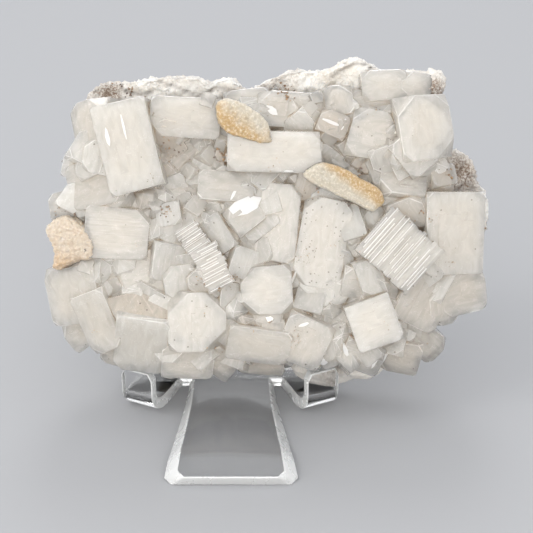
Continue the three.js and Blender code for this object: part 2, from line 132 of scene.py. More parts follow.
# %% [markdown]
# ## Helpers for nodes and colours
# Materials and Geometry Nodes are both trees of nodes. One function adds a node, sets its
# options, and fills or links its inputs. Colours are written as the hex values a paint program
# shows, and one function turns them into the linear values that Blender calculates with.


# %% Node and colour helpers
def add_node(tree, kind, inputs=None, **settings):
    """Adds a node, with its settings, and its inputs as values or as sockets to link."""
    new = tree.nodes.new(kind)
    for name, value in settings.items():
        setattr(new, name, value)
    for name, value in (inputs or {}).items():
        if isinstance(value, bpy.types.NodeSocket):
            tree.links.new(value, new.inputs[name])
        else:
            new.inputs[name].default_value = value
    return new


def colour(hex_value):
    """A six-digit sRGB hex value as linear red, green, blue and alpha."""
    parts = [int(hex_value[i:i + 2], 16) / 255 for i in (0, 2, 4)]
    linear = [v / 12.92 if v <= 0.04045 else ((v + 0.055) / 1.055) ** 2.4 for v in parts]
    return (*linear, 1.0)


def new_material(name):
    """A material with an empty tree and an output node."""
    material = bpy.data.materials.new(name)
    material.use_nodes = True
    material.node_tree.nodes.clear()
    output = add_node(material.node_tree, "ShaderNodeOutputMaterial")
    return material, material.node_tree, output


def set_surface(tree, output, inputs):
    """Ends a material with one surface, which the inputs describe."""
    surface = add_node(tree, "ShaderNodeBsdfPrincipled", inputs)
    tree.links.new(surface.outputs["BSDF"], output.inputs["Surface"])


print("middle grey in linear light:", round(colour("808080")[0], 3))

# %% [markdown]
# Some kinds of node come back again and again, so each gets a short name: where a pattern lies
# and how it is stretched, a sum, a ramp, two colours mixed, noise, and small relief.


# %% Pattern helpers
def stretched(tree, place, scale, turn=(0, 0, 0)):
    """Coordinates scaled by one number for each direction, so that a pattern gets long or fine."""
    return add_node(tree, "ShaderNodeMapping", {
        "Vector": place, "Scale": scale, "Rotation": turn,
    }).outputs["Vector"]


def millimetres(tree, attribute=None):
    """Object coordinates in millimetres, or a piece's own coordinates, already in millimetres."""
    if attribute:
        return add_node(tree, "ShaderNodeAttribute", attribute_name=attribute).outputs["Vector"]
    place = add_node(tree, "ShaderNodeTexCoord").outputs["Object"]
    return stretched(tree, place, (1000, 1000, 1000))


def stored(tree, name):
    """A number that was stored on the mesh."""
    return add_node(tree, "ShaderNodeAttribute", attribute_name=name).outputs["Fac"]


def calc(tree, operation, *values, clamp=False):
    """One sum with numbers or sockets; clamp holds the result between 0 and 1."""
    return add_node(tree, "ShaderNodeMath", dict(enumerate(values)), operation=operation,
                    use_clamp=clamp).outputs[0]


def ramp(tree, value, low, high, start=0.0, end=1.0):
    """Turns the range low to high into start to end, and holds still outside it."""
    return add_node(tree, "ShaderNodeMapRange", {
        "Value": value, "From Min": low, "From Max": high, "To Min": start, "To Max": end,
    }).outputs[0]


def mix(tree, share, first, second):
    """Two colours mixed. Each is a socket or a hex value."""
    first, second = (colour(c) if isinstance(c, str) else c for c in (first, second))
    return add_node(tree, "ShaderNodeMix", {"Factor": share, "A": first, "B": second},
                    data_type="RGBA").outputs["Result"]


def cloudy(tree, place, scale, detail, roughness, distortion=0.0):
    """Noise around 0.5. A scale of 1 makes clouds about a millimetre across."""
    return add_node(tree, "ShaderNodeTexNoise", {
        "Vector": place, "Scale": scale, "Detail": detail, "Roughness": roughness,
        "Distortion": distortion,
    }).outputs["Fac"]


def bumpy(tree, height, strength, distance):
    """The normal of a surface with small relief, whose depth is given in metres."""
    return add_node(tree, "ShaderNodeBump", {
        "Height": height, "Strength": strength, "Distance": distance,
    }).outputs["Normal"]


# %% [markdown]
# Meshes are built point by point in a work mesh, then turned into a real one. Some get a
# modifier that does the last step; its result is read off, and the host object goes.


# %% Mesh helpers
def link_object(name, mesh):
    piece = bpy.data.objects.new(name, mesh)
    bpy.context.scene.collection.objects.link(piece)
    return piece


def new_collection(name):
    collection = bpy.data.collections.new(name)
    bpy.context.scene.collection.children.link(collection)
    return collection


def remove_collection(collection):
    for piece in list(collection.objects):
        bpy.data.objects.remove(piece)
    bpy.data.collections.remove(collection)


def mesh_from(work, name):
    """The work mesh as a real mesh. The work mesh is freed."""
    mesh = bpy.data.meshes.new(name)
    work.to_mesh(mesh)
    work.free()
    return mesh


def evaluated(host):
    """The host's mesh with its modifiers applied. The host goes."""
    bpy.context.view_layer.update()
    graph = bpy.context.evaluated_depsgraph_get()
    mesh = bpy.data.meshes.new_from_object(host.evaluated_get(graph))
    bpy.data.objects.remove(host)
    return mesh


def voxel_skin(mesh, size):
    """The mesh melted into one closed skin of even squares."""
    host = link_object("host", mesh)
    skin = host.modifiers.new("skin", "REMESH")
    skin.mode = "VOXEL"
    skin.voxel_size = size
    return evaluated(host)


# %% [markdown]
# ## Floor and light
# A plain pale floor, soft lights, and an almost even sky that gives most of the light: clear
# crystal and clear acrylic show what is around them, and milky crystal glows with the light that
# goes in on every side. Only the key light and the one behind are small, so that facets flash.
# The two cards stand low on the left and in front, where the tilted faces mirror them softly.

# %% Floor and light
floor_mesh = bpy.data.meshes.new("floor")
floor_mesh.from_pydata([(-3, -3, 0), (3, -3, 0), (3, 3, 0), (-3, 3, 0)], [], [(0, 1, 2, 3)])
floor = link_object("floor", floor_mesh)
paper, tree, output = new_material("pale_paper")
set_surface(tree, output, {
    "Base Color": colour("9A9B9E"), "Roughness": 0.75, "Specular IOR Level": 0.3,
})
floor_mesh.materials.append(paper)

# Square area lights that face the middle: place, size, watts and tint, in metres.
MIDDLE = Vector((0, 0, 0.05))
LIGHTS = {
    "light_left": ((-0.7, -0.5, 0.9), 1.2, 2.8, "FFFCF5"),
    "light_key": ((-0.55, -0.3, 0.85), 0.35, 1.7, "FFFEFA"),
    "light_behind": ((0.05, 0.75, 1.0), 0.4, 3.8, "FFFFFF"),
    "light_front": ((0.12, -1.25, 0.5), 1.3, 9.0, "FFFCF6"),
    "card_left": ((-0.85, -0.6, 0.1), 0.5, 3.2, "FFFCF6"),
    "card_low": ((-0.05, -0.6, 0.1), 0.45, 1.0, "FFFCF6"),
}
for name, (place, size, watts, tint) in LIGHTS.items():
    data = bpy.data.lights.new(name, "AREA")
    data.size = size
    data.energy = watts
    data.color = colour(tint)[:3]
    lamp = link_object(name, data)
    lamp.location = place
    lamp.rotation_euler = (MIDDLE - Vector(place)).to_track_quat("-Z", "Y").to_euler()

world = bpy.data.worlds.new("sky")
world.use_nodes = True
sky = world.node_tree
upward = add_node(sky, "ShaderNodeSeparateXYZ", {
    "Vector": add_node(sky, "ShaderNodeTexCoord").outputs["Generated"],
}).outputs["Z"]
brightness = ramp(sky, upward, -0.1, 0.9, 1.38, 1.34)
backdrop = sky.nodes["Background"]
backdrop.inputs["Color"].default_value = colour("EDEEF0")
sky.links.new(brightness, backdrop.inputs["Strength"])
bpy.context.scene.world = world
bpy.context.scene.view_settings.view_transform = "Standard"
print(len(LIGHTS), "lights and a sky")

# %% [markdown]
# ## The crystals' places
# Each large crystal is a square prism with its corners cut by small slanting faces. A row of
# the table says where the middle of its front face lies, how large it is, and how it is turned.

# %% The crystals' places
# across, up, out, wide, tall, deep: millimetres.  spin, swing, lean: degrees.
# corner: how far the corners are cut back.
CRYSTALS = [
    (-36.3, 21.6, 7.5, 14.5, 23.5, 15, 13, -4, 4, 1.6),  # 0 tall block, upper left
    (-46.5, 27.5, 3.5, 10, 12, 11, 14, -24, 6, 2.5),  # 1 its shoulder
    (-45.5, 12, 4, 14, 12.5, 13, 14, -14, 4, 2),  # 2 under the shoulder
    (-21.8, 29, 4, 18, 10.5, 13, -3, 4, 4, 2),  # 3 long block, top
    (-18, 19.3, -0.5, 9.5, 9, 10, -6, 6, 8, 2),  # 4 dull square under it
    (1.3, 20.2, 7, 24.5, 10.6, 13, -1, 2, -3, 1.2),  # 5 long bar, top middle
    (5.5, 31, 1.5, 17, 9.5, 12, -4, 6, 12, 2),  # 6 behind the bar
    (-5.5, 32.5, -1.5, 12, 8, 10, 6, 0, 10, 2),  # 7
    (16.8, 27.5, 3.5, 8, 6.5, 9, -24, 10, 14, 1.2),  # 8 small golden one
    (27.5, 24.6, 3.5, 13.5, 12.8, 12, -12, 4, 6, 3.6),  # 9 eight-sided face
    (40, 26.6, 7.5, 13.6, 16.5, 14, 6, 6, 4, 4.2),  # 10 large eight-sided face
    (38, 20.4, 6.8, 11, 11, 12, 40, 4, -6, 1.8),  # 11 its lower corner
    (30.2, 37.2, -0.5, 12, 8, 10, 3, 2, 10, 2),  # 12 row on the upper right edge
    (38.5, 37, -1, 8, 7.5, 10, -6, 8, 10, 1.8),  # 13
    (18, 33.5, 0.5, 7.5, 8, 9, 12, -6, 12, 1.8),  # 14
    (23.8, 33, -1.5, 7, 6, 9, -14, 6, 4, 1.5),  # 15
    (19.3, 20.8, -0.5, 8.5, 9.5, 10, 4, -8, 0, 1.8),  # 16 beside the bar
    (34.8, 13.5, 4, 12, 9, 12, -8, 4, 28, 1.8),  # 17 under the large face
    (35.3, 9.3, 3, 11.5, 9.5, 12, -6, 4, 0, 1.8),  # 18
    (43.8, 11.6, 0.5, 8, 4.5, 9, -20, 14, 10, 1.2),  # 19 clear tip
    (48.4, -1, 5, 15.6, 21.5, 14, 0, 10, 0, 1.4),  # 20 tall block, right
    (51.2, -16.8, 3, 12.5, 12, 12, 12, 12, -6, 3.4),  # 21 under it
    (26.5, -14.6, 6, 15, 8, 12, -8, 2, -12, 1.6),  # 22
    (27.2, -24, 9, 12.6, 12.6, 14, 20, 2, 2, 1.2),  # 23 tilted square, lower right
    (40.3, -19, 5, 13, 14, 13, -28, 14, -2, 2),  # 24
    (46, -21, 3.5, 8, 9, 11, 10, 18, -8, 2),  # 25
    (42, -31, 1, 10, 8.5, 12, -38, 16, -14, 1.6),  # 26 clear fan, lower right
    (34.6, -34.4, 2.5, 11, 9, 12, -12, 4, -16, 1.4),  # 27
    (24.6, -33.8, 5, 11, 8, 12, -22, 0, -14, 1.4),  # 28 striped
    (9.2, -29.6, 6, 12.5, 13, 13, -24, -4, -6, 2.4),  # 29 specked face
    (16.8, -31, 4.5, 9.5, 10.5, 12, 24, 8, -8, 1.8),  # 30
    (-2.8, -30.4, 6, 16.5, 9.6, 13, -8, -2, -10, 1.6),  # 31 bar, bottom middle
    (-0.6, -15.6, 6.5, 13.6, 13, 13, 4, 0, 0, 3.6),  # 32 rounded face, middle
    (2.4, 2, 5, 10.6, 20.5, 13, -7, -4, 2, 1.8),  # 33 tall face, middle
    (-6.4, 4, 6, 9, 8, 12, 36, 4, 16, 1.6),  # 34 the brightest facet
    (-11, 11.4, 4, 14.6, 7.8, 12, -4, 0, 14, 1.8),  # 35
    (-22.5, 9.2, 1.5, 8, 9.2, 10, 12, 6, 4, 1.8),  # 36
    (-39.4, -1, 5, 16.5, 13.5, 13, -4, 0, 4, 2),  # 37 layered block, left
    (-31, -11.6, 3, 15.5, 12, 12, 16, 4, 0, 1.8),  # 38
    (-8.4, -4.6, 2.5, 10.6, 12, 11, -28, 4, 0, 1.8),  # 39
    (13.8, -3.6, 5.5, 12.4, 23, 13, -10, 2, -2, 2.2),  # 40 tall face with dark specks
    (24, 0.6, 3, 10, 11, 11, -36, 4, 4, 1.6),  # 41 striped
    (-41, -11.2, 2.5, 12, 9.5, 11, 6, -6, 2, 1.8),  # 42
    (-51.4, -17.8, 3, 14, 15, 12, 8, -12, -4, 2.2),  # 43 large pale face, lower left
    (-44.8, -24.4, 5, 9.4, 16.5, 13, 22, -10, -6, 1.4),  # 44 long block beside it
    (-53.8, 6.2, 0.5, 9, 7.4, 9, 12, -20, 8, 1.6),  # 45 above the sheaf
    (-49.5, -27.4, 0.5, 11, 8.5, 10, 36, -12, -10, 1.6),  # 46 lower left edge
    (-39.6, -33.6, 1.5, 10.5, 7.5, 10, -16, -4, -18, 1.6),  # 47
    (-33.6, -30.6, 4.6, 14, 17, 14, -9, -2, -26, 1.4),  # 48 clear box seen from above
    (-18.8, -24, 7, 15.5, 16, 14, 0, 2, -4, 4.6),  # 49 large eight-sided face
    (-21.5, -35.4, 3.5, 13.5, 9.5, 12, -3, 0, -14, 1.8),  # 50
    (-12.6, -36, 2, 8.4, 7.4, 11, -38, 4, -14, 1.4),  # 51
    (11.6, -19.4, 1, 9, 7, 10, 8, 4, 0, 1.6),  # 52
    (2.6, 11, 2, 9.5, 7.5, 10, -22, 6, 8, 1.6),  # 53
    (-2, -37, -1, 12, 5, 9, -5, 0, -8, 1.2),  # 54
    (28.6, 31.8, -1, 15, 6, 9, 4, 0, 8, 1.4),  # 55 fills the gap under the upper right row
]
# Striated blocks: the rows read the same, and end with how the ribs run.
RIBBED_CRYSTALS = [
    (33.8, -5, 8.5, 17.4, 15.5, 13, -42, 4, 4, "up"),  # large shining block, right
    (-20, -1.8, 6.6, 7, 7.2, 11, 34, -6, 6, "across"),  # upper step of the column
    (-14.6, -9.6, 7.6, 8.2, 11.4, 12, 28, -4, 4, "across"),  # lower step
]
RIB_PITCH = 0.9  # mm from one rib to the next
print(len(CRYSTALS), "large crystals,", len(RIBBED_CRYSTALS), "striated ones")

# %% [markdown]
# Some crystals are milky and some clear; a few are stained, dusted with dark specks, or finely
# striped. Those facts go with the crystal as a colour attribute on its faces, so that one
# material can read them: red is milk, green stain, blue specks and alpha stripes. Milk above 1
# is a painted highlight: the pearly flash of a fresh cleavage face, painted as the whitest thing
# on the specimen.
# Less milk also lets the heart of a crystal sink deeper, so that the clear skin looks thicker.

# %% The crystals' looks
# Painted highlight: this milk value makes the material paint a face pure white, as a pearly flash.
PEARLY_HIGHLIGHT_MILK = 1.4
PLAIN_LOOK = {"milk": 0.84, "stain": 0.06, "specks": 0.04, "stripes": 0.03}
LOOKS = {
    0: {"milk": 0.9}, 1: {"milk": 0.8, "specks": 0.1}, 4: {"milk": 0.7, "stain": 0.3},
    5: {"stripes": 0.15}, 8: {"milk": 0.95, "stain": 0.3}, 10: {"milk": 0.86},
    16: {"milk": 0.7, "stain": 0.3}, 17: {"milk": 0.7}, 18: {"milk": 0.6}, 19: {"milk": 0.35},
    20: {"milk": 0.88}, 23: {"milk": 0.9}, 24: {"milk": 0.8, "stain": 0.12},
    26: {"milk": 0.6, "stain": 0.08, "stripes": 0.5}, 27: {"milk": 0.65, "stain": 0.12},
    28: {"milk": 0.75, "stripes": 0.9}, 29: {"specks": 0.45}, 30: {"specks": 0.3},
    36: {"milk": 0.7, "stain": 0.15}, 37: {"milk": 0.75, "stripes": 0.5},
    38: {"milk": 0.75, "stripes": 0.4}, 40: {"milk": 0.86, "specks": 0.5}, 41: {"stripes": 1.0},
    43: {"milk": 0.88}, 44: {"milk": 0.88}, 46: {"milk": 0.86}, 47: {"milk": 0.86, "stain": 0.1},
    48: {"milk": 0.95, "stain": 0.0, "stripes": 0.2}, 49: {"milk": 0.88, "specks": 0.15},
    50: {"milk": 0.92}, 51: {"milk": 0.8, "stain": 0.1}, 54: {"milk": 0.75, "stain": 0.2},
}


def look_of(index=None, **changes):
    """The four facts of a crystal, as the values of a colour."""
    look = {**PLAIN_LOOK, **LOOKS.get(index, {}), **changes}
    return (look["milk"], look["stain"], look["specks"], look["stripes"])


print(len(LOOKS), "of the large crystals have a look of their own")

# %% [markdown]
# ## One crystal
# A convex hull round a few points gives the flat faces. Real edges are never knife sharp, so a
# bevel of a fifth of a millimetre runs along each, and catches the light as a thin bright line.
# The bevel faces are marked, and the material paints them whiter: partly wear, partly a painted
# highlight.
# Each corner of each face keeps its place in the crystal's own frame, in the attribute "own",
# so that veils and stripes follow the crystal however it is turned.

# %% A crystal's shape
EDGE = 0.2  # mm, width of the worn edges
chance = random.Random(7)
crystal_parts = new_collection("crystal_parts")


def turned(at, spin, swing, lean):
    """The matrix from a crystal's own frame to the specimen's."""
    swing, lean, spin = (math.radians(v) for v in (swing, lean, spin))
    turn = (Matrix.Rotation(swing, 4, "Y") @ Matrix.Rotation(-lean, 4, "X")
            @ Matrix.Rotation(spin, 4, "Z"))
    return Matrix.Translation(at) @ turn


def add_hull(name, points, where, look, along="y", edge=EDGE, into=crystal_parts):
    """A convex solid round the points, bevelled, with its look and own frame stored."""
    work = bmesh.new()
    own = work.loops.layers.float_vector.new("own")
    look_layer = work.faces.layers.float_color.new("look")
    worn_layer = work.faces.layers.float.new("worn_edge_highlight")
    for point in points:
        work.verts.new(point)
    bmesh.ops.convex_hull(work, input=work.verts)
    loose = [v for v in work.verts if not v.link_faces]
    bmesh.ops.delete(work, geom=loose, context="VERTS")
    bmesh.ops.dissolve_limit(work, angle_limit=0.01, verts=work.verts, edges=work.edges)
    # The bevel faces are marked here; the material paints them whiter, partly as wear and partly
    # as a painted highlight.
    worn_edge_highlight = set()
    if edge:
        made = bmesh.ops.bevel(work, geom=list(work.edges), offset=edge, segments=1,
                               affect="EDGES", clamp_overlap=True)
        worn_edge_highlight = set(made["faces"])
    bmesh.ops.recalc_face_normals(work, faces=work.faces)
    # Own coordinates start at a random place, so that no two crystals show the same veils.
    start = Vector([chance.uniform(-400, 400) for _ in range(3)])
    for face in work.faces:
        face[look_layer] = look
        face[worn_layer] = 1.0 if face in worn_edge_highlight else 0.0
        for loop in face.loops:
            x, y, z = loop.vert.co
            loop[own] = start + (Vector((x, y, z)) if along == "y" else Vector((y, x, z)))
    bmesh.ops.transform(work, matrix=where, verts=work.verts)
    into.objects.link(bpy.data.objects.new(name, mesh_from(work, name)))


# %% [markdown]
# The points come from three small functions: a block with cut corners for the crystals, an
# irregular shard for broken ones, and a plain box for steps and slats. The corners of a block
# are cut unevenly, because real faces grow at different speeds.


# %% A crystal's corners
def block_points(wide, tall, deep, corner):
    """A block with its front at z = 0 and its front corners cut, each by its own amount."""
    points = []
    for x in (-1, 1):
        for y in (-1, 1):
            cut = corner * chance.choice((0.6, 0.8, 1.0, 1.2, 1.9))
            cut = min(cut, 0.4 * wide, 0.4 * tall)
            slip = [chance.uniform(-0.022, 0.022) * length for length in (wide, tall)]
            far = Vector((x * wide / 2 + slip[0], y * tall / 2 + slip[1], 0))
            points += [far - Vector((x * cut, 0, 0)), far - Vector((0, y * cut, 0)),
                       far - Vector((0, 0, cut)), far - Vector((0, 0, deep))]
    return points


def shard_points(wide, tall, deep):
    """An irregular piece: random points on a low dome, over a block."""
    points = []
    for _ in range(13):
        angle, rise = chance.uniform(0, 2 * math.pi), chance.random()
        reach = math.sqrt(1 - rise ** 2)
        points.append(Vector((0.58 * wide * reach * math.cos(angle),
                              0.58 * tall * reach * math.sin(angle), 2.6 * (rise - 0.9))))
    return points + [p - Vector((0, 0, deep)) for p in points[:6]]


def box_points(low, high):
    return [Vector((x, y, z)) for x in (low[0], high[0]) for y in (low[1], high[1])
            for z in (low[2], high[2])]


# %% [markdown]
# The milk in apophyllite sits inside, behind a clear skin. So each crystal gets a heart: an
# opaque body with soft corners and a cloudy surface, a little smaller than the crystal. Where
# the crystal is clearer the cloud lies deeper. Snow under clear ice looks the same way: the
# edges of the ice are sharp and what is under it is soft.

# %% A crystal's heart
hearts = bmesh.new()
heart_look = hearts.faces.layers.float_color.new("look")
MILKY = 0.82  # crystals with less milk than this have a deeper clear skin


def add_heart(size, corner, where, look, depth=0.0):
    """The crystal's milky heart: a box with soft corners and a cloudy, uneven skin."""
    skin = chance.uniform(0.15, 0.5)
    half = [length / 2 - skin for length in size]
    start = Vector([chance.uniform(-90, 90) for _ in range(3)])
    fine = 3 if min(size[0], size[1]) > 9 else 2
    made = bmesh.ops.create_icosphere(hearts, subdivisions=fine, radius=1.0)["verts"]
    for vertex in made:
        ray = vertex.co.normalized()
        place = (0.88 / max(abs(c) for c in ray) + 0.12) * ray  # mostly cube, a little ball
        x, y, z = (c * h for c, h in zip(place, half))
        over = abs(x) + abs(y) - (half[0] + half[1] - corner)
        if over > 0:
            x -= math.copysign(over / 2, x)
            y -= math.copysign(over / 2, y)
        cloud = noise.fractal(start + Vector((x, y, z)) * 0.3, 1.0, 2.0, 4)
        clearness = 1 + 6 * max(0.0, MILKY - look[0])
        sink = min(1.1 * clearness, max(0.0, (0.12 + 0.75 * cloud) * clearness))
        vertex.co = where @ (Vector((x, y, z - size[2] / 2 - depth)) - ray * sink)
    for face in {face for vertex in made for face in vertex.link_faces}:
        face[heart_look] = look
        face.smooth = True


# %% [markdown]
# Growth leaves low steps on the faces, made here as thin strips along the crystal's length, and
# ledges on its sides. They are a twentieth to a third of a millimetre high, just enough to
# catch light.


# %% Crystals with growth steps
def add_crystal(name, row, look):
    wide, tall, deep, spin, swing, lean, corner = row[3:]
    where = turned(row[:3], spin, swing, lean)
    along = "y" if tall > wide else "x"
    points = block_points(wide, tall, deep, corner)
    add_hull(name, points, where, look, along)
    add_heart((wide, tall, deep), 1.5 * corner, where, look)
    # Low growth steps on the front, long and narrow, and ledges on the sides.
    long, short = max(wide, tall), min(wide, tall)
    for k in range(2):
        width = chance.uniform(0.12, 0.4) * short
        middle = chance.uniform(-0.42, 0.42) * (short - width)
        start, end = sorted(chance.uniform(-0.44, 0.44) * long for _ in range(2))
        if end - start < 0.25 * long:
            end = min(start + 0.4 * long, 0.44 * long)
        rise = chance.uniform(0.05, 0.15)
        low = (middle - width / 2, start, -1.0)
        high = (middle + width / 2, end, rise)
        if along == "x":
            low, high = (low[1], low[0], low[2]), (high[1], high[0], high[2])
        margin = corner * 0.9
        low = (max(low[0], margin - wide / 2), max(low[1], margin - tall / 2), low[2])
        high = (min(high[0], wide / 2 - margin), min(high[1], tall / 2 - margin), high[2])
        if high[0] - low[0] > 0.6 and high[1] - low[1] > 0.6:
            add_hull(f"{name}_step_{k}", box_points(low, high), where, look, along, edge=0)
    for k in range(2):
        side = 1 if chance.random() < 0.5 else -1
        rise = chance.uniform(0.1, 0.35)
        place = chance.uniform(-0.35, 0.35) * tall
        half = chance.uniform(0.08, 0.2) * tall
        back = -deep * chance.uniform(0.5, 0.9)
        low = (0, place - half, back)
        high = (wide / 2 + rise, place + half, -corner * chance.uniform(0.8, 1.6) - 0.3)
        points = [Vector((side * p.x, p.y, p.z)) for p in box_points(low, high)]
        add_hull(f"{name}_ledge_{k}", points, where, look, along, edge=0)


# %% [markdown]
# Three blocks are striated: the crystal grew as a bundle of thin ribs whose crests stand in and
# out by turns. Thin slats between the ribs, painted pearly white as a highlight, give the bright
# broken lines of such a face.


# %% Striated blocks
def add_ribbed(name, row, look):
    """Parallel ribs with slanting crests, and slats along them painted white as pearly highlights.
    """
    wide, tall, deep, spin, swing, lean, run = row[3:]
    where = turned(row[:3], spin, swing, lean)
    span = wide if run == "up" else tall
    length = tall if run == "up" else wide
    add_heart((wide, tall, deep), 1.0, where, look, depth=0.7)
    count = round(span / RIB_PITCH)
    pitch = span / count
    along = "y" if run == "up" else "x"
    for k in range(count):
        middle = (k + 0.5) * pitch - span / 2
        half = pitch * chance.uniform(0.5, 0.8)
        crest = -chance.uniform(0, 0.25)
        slant = chance.uniform(-0.12, 0.12)
        bright = chance.choice((0.7, 0.8, 0.9, 0.95))
        low_end = -length / 2 + chance.uniform(0, 0.7)
        high_end = length / 2 - chance.uniform(0, 0.9)
        points = []
        for end in (low_end, high_end):
            for side, z in ((-1, crest - slant), (1, crest + slant)):
                points += [(middle + side * half, end, z), (middle + side * half, end, -deep)]
        if run != "up":
            points = [(y, x, z) for x, y, z in points]
        add_hull(f"{name}_rib_{k}", points, where, (bright, *look[1:]), along, edge=0.05)
    made = 0
    middle = -span / 2 + 0.4
    while middle < span / 2 - 0.3:
        half, crest = chance.uniform(0.06, 0.16), chance.uniform(0.03, 0.14)
        reach = chance.uniform(0.2, 0.5) * length
        centre = chance.uniform(-1, 1) * (length / 2 - reach)
        low, high = (middle - half, centre - reach, -1), (middle + half, centre + reach, crest)
        points = box_points(low, high)
        if run != "up":
            points = [Vector((p.y, p.x, p.z)) for p in points]
        # Painted highlight: each slat gets the pearly milk value, which the material paints white.
        add_hull(f"{name}_slat_{made}", points, where, (PEARLY_HIGHLIGHT_MILK, *look[1:]), along, edge=0)
        made += 1
        middle += chance.uniform(0.4, 1.25)


for index, row in enumerate(CRYSTALS):
    add_crystal(f"crystal_{index}", row, look_of(index))
for index, row in enumerate(RIBBED_CRYSTALS):
    add_ribbed(f"ribbed_{index}", row, look_of(milk=0.8, stripes=0.6))

# %% [markdown]
# Here and there a fresh cleavage face flashes white, and that flash is a painted highlight. Each
# is a thin facet with an uneven outline, a tenth of a millimetre proud of the large face that it
# lies on, painted the whitest white.

# %% Painted pearly highlights
# across, up, long, broad: millimetres.  turn of the long side: degrees.
PAINTED_FLASHES = [
    (-6.2, 6.4, 8.4, 3.8, 24), (0.6, 30.6, 3.4, 1.6, -35), (16, 27.6, 4.6, 0.8, -22),
    (19.2, 27.2, 0.7, 3.0, -24), (40.6, 13.4, 1.2, 2.4, 10), (5, 15.2, 2.2, 0.5, 0),
    (7.8, -20.6, 3.2, 1.2, 42), (9, -24.6, 2.6, 0.8, 20), (13.8, -34.8, 3.0, 1.6, -20),
    (20, -31.6, 1.0, 3.6, 18), (28, -34.4, 0.8, 4.6, -24), (30.4, -34, 0.6, 4.4, -24),
    (-22.6, -14.4, 3.6, 0.5, 68), (-9, 9.4, 0.7, 3.8, -28), (27.4, 1.8, 0.6, 4.6, -42),
    (-37.2, 26.6, 0.5, 6.0, 13), (-41.4, 24, 0.9, 4.4, 13), (6.4, -12.4, 0.5, 3.2, -20),
]
FLASH_CORNERS = 7
FLASH_RISE = 0.1  # mm
FLASH_ROOT = -1.2  # mm, inside the crystal
CLEAN_LAP = 0.3  # mm of a face's rim that may be overlapped


def covers(row, across, up, margin):
    """Whether a crystal's front face, wider by the margin, lies over a place."""
    wide, tall, spin = row[3], row[4], math.radians(row[6])
    x, y = across - row[0], up - row[1]
    x, y = x * math.cos(spin) + y * math.sin(spin), y * math.cos(spin) - x * math.sin(spin)
    return abs(x) < wide / 2 + margin and abs(y) < tall / 2 + margin


def front_row(across, up):
    """The large crystal whose face lies foremost over a place."""
    over = [row for row in CRYSTALS if covers(row, across, up, -CLEAN_LAP)]
    return max(over, key=lambda row: row[2])


def add_painted_flashes():
    for index, (across, up, long, broad, turn) in enumerate(PAINTED_FLASHES):
        row = front_row(across, up)
        where = turned(row[:3], *row[6:9])
        spot = where.inverted() @ Vector((across, up, row[2]))
        tilt = math.radians(turn - row[6])
        points = []
        for k in range(FLASH_CORNERS):
            angle = 2 * math.pi * (k + chance.uniform(-0.35, 0.35)) / FLASH_CORNERS
            x, y = 0.58 * long * math.cos(angle), 0.58 * broad * math.sin(angle)
            for z in (FLASH_ROOT, FLASH_RISE):
                points.append(Vector((spot.x + x * math.cos(tilt) - y * math.sin(tilt),
                                      spot.y + x * math.sin(tilt) + y * math.cos(tilt), z)))
        # Painted highlight: milk 1.5 makes the material paint this facet pure white.
        add_hull(f"flash_{index}", points, where, look_of(milk=1.5), edge=0)
    print(len(PAINTED_FLASHES), "pearly facets")


add_painted_flashes()

# %% [markdown]
# One crystal at the lower left is seen from above, through its end face. That face is slanted
# and has five corners, and rust shines through it, so it is brown beside the white front.

# %% The window face
WINDOW = [(-42.8, -18.2, 4.6), (-34.1, -16.3, 3.6), (-24.3, -19.7, 4.4), (-27.5, -25.3, 7.6),
          (-39.6, -23.4, 7.6)]  # across, up, out of its corners
WINDOW_DEPTH = Vector((0, 0, 7))
window = [Vector(p) for p in WINDOW] + [Vector(p) - WINDOW_DEPTH for p in WINDOW]
add_hull("window", window, Matrix(), look_of(milk=0.8, stain=0.4, specks=0.8, stripes=0.5))

# %% [markdown]
# ## What lies deeper
# Between the large crystals the eye meets others, half hidden, then small ones, and brown dust
# on the rock. The places where brown shows are listed once, and crystals and rock both read them.

# %% Brown places
# across, up, radius, strength
STAINS = [
    (-25.5, 20, 5, 0.8), (9, 10, 4, 0.9), (39, 1, 5, 0.7), (-13, -30, 4, 0.6),
    (-11, -12, 4, 0.5), (-12.5, 19, 2.5, 1.0), (24, 15, 2.5, 1.0), (-34, 7, 5, 0.45),
    (-18, -12, 3, 0.5), (20, 6, 2.5, 0.8), (51, 14, 7, 0.9), (43.5, 37, 3, 0.7),
    (-57, -8, 3, 0.8), (-49, -5, 2, 0.7), (2, -23, 4, 0.4), (-5, -22, 3, 0.5),
    (46, -25, 3, 0.6), (39, -34, 5, 0.4), (-42, 35, 3, 0.5), (-56, -24, 3, 0.3),
]


def stain_at(across, up):
    """How brown a place is, from 0 to 1."""
    most = 0.0
    for x, y, radius, strength in STAINS:
        far = math.hypot(across - x, up - y) / radius
        most = max(most, strength * max(0.0, 1.25 - far))
    return min(1.0, most)


print(len(STAINS), "brown places")

# %% [markdown]
# The half hidden crystals follow the same rule as in the CAD model: a grid, stirred by a number
# that is worked out from the place, so that it comes out the same each time.

# %% Half hidden crystals
BED_PITCH = 19  # mm, as all the sizes of the bed
BED_SIZE = 17
BED_OUT = -2.2
BED_DEPTH = 12  # short enough to end inside the rock
BED_HALF_WIDTH = 46
BED_HALF_HEIGHT = 29


def scatter(column, row, salt):
    """A repeatable number from -1 to 1 for a place in the bed."""
    wave = math.sin(column * 12.9898 + row * 78.233 + salt * 37.719) * 43758.5453
    return 2 * (wave - math.floor(wave)) - 1


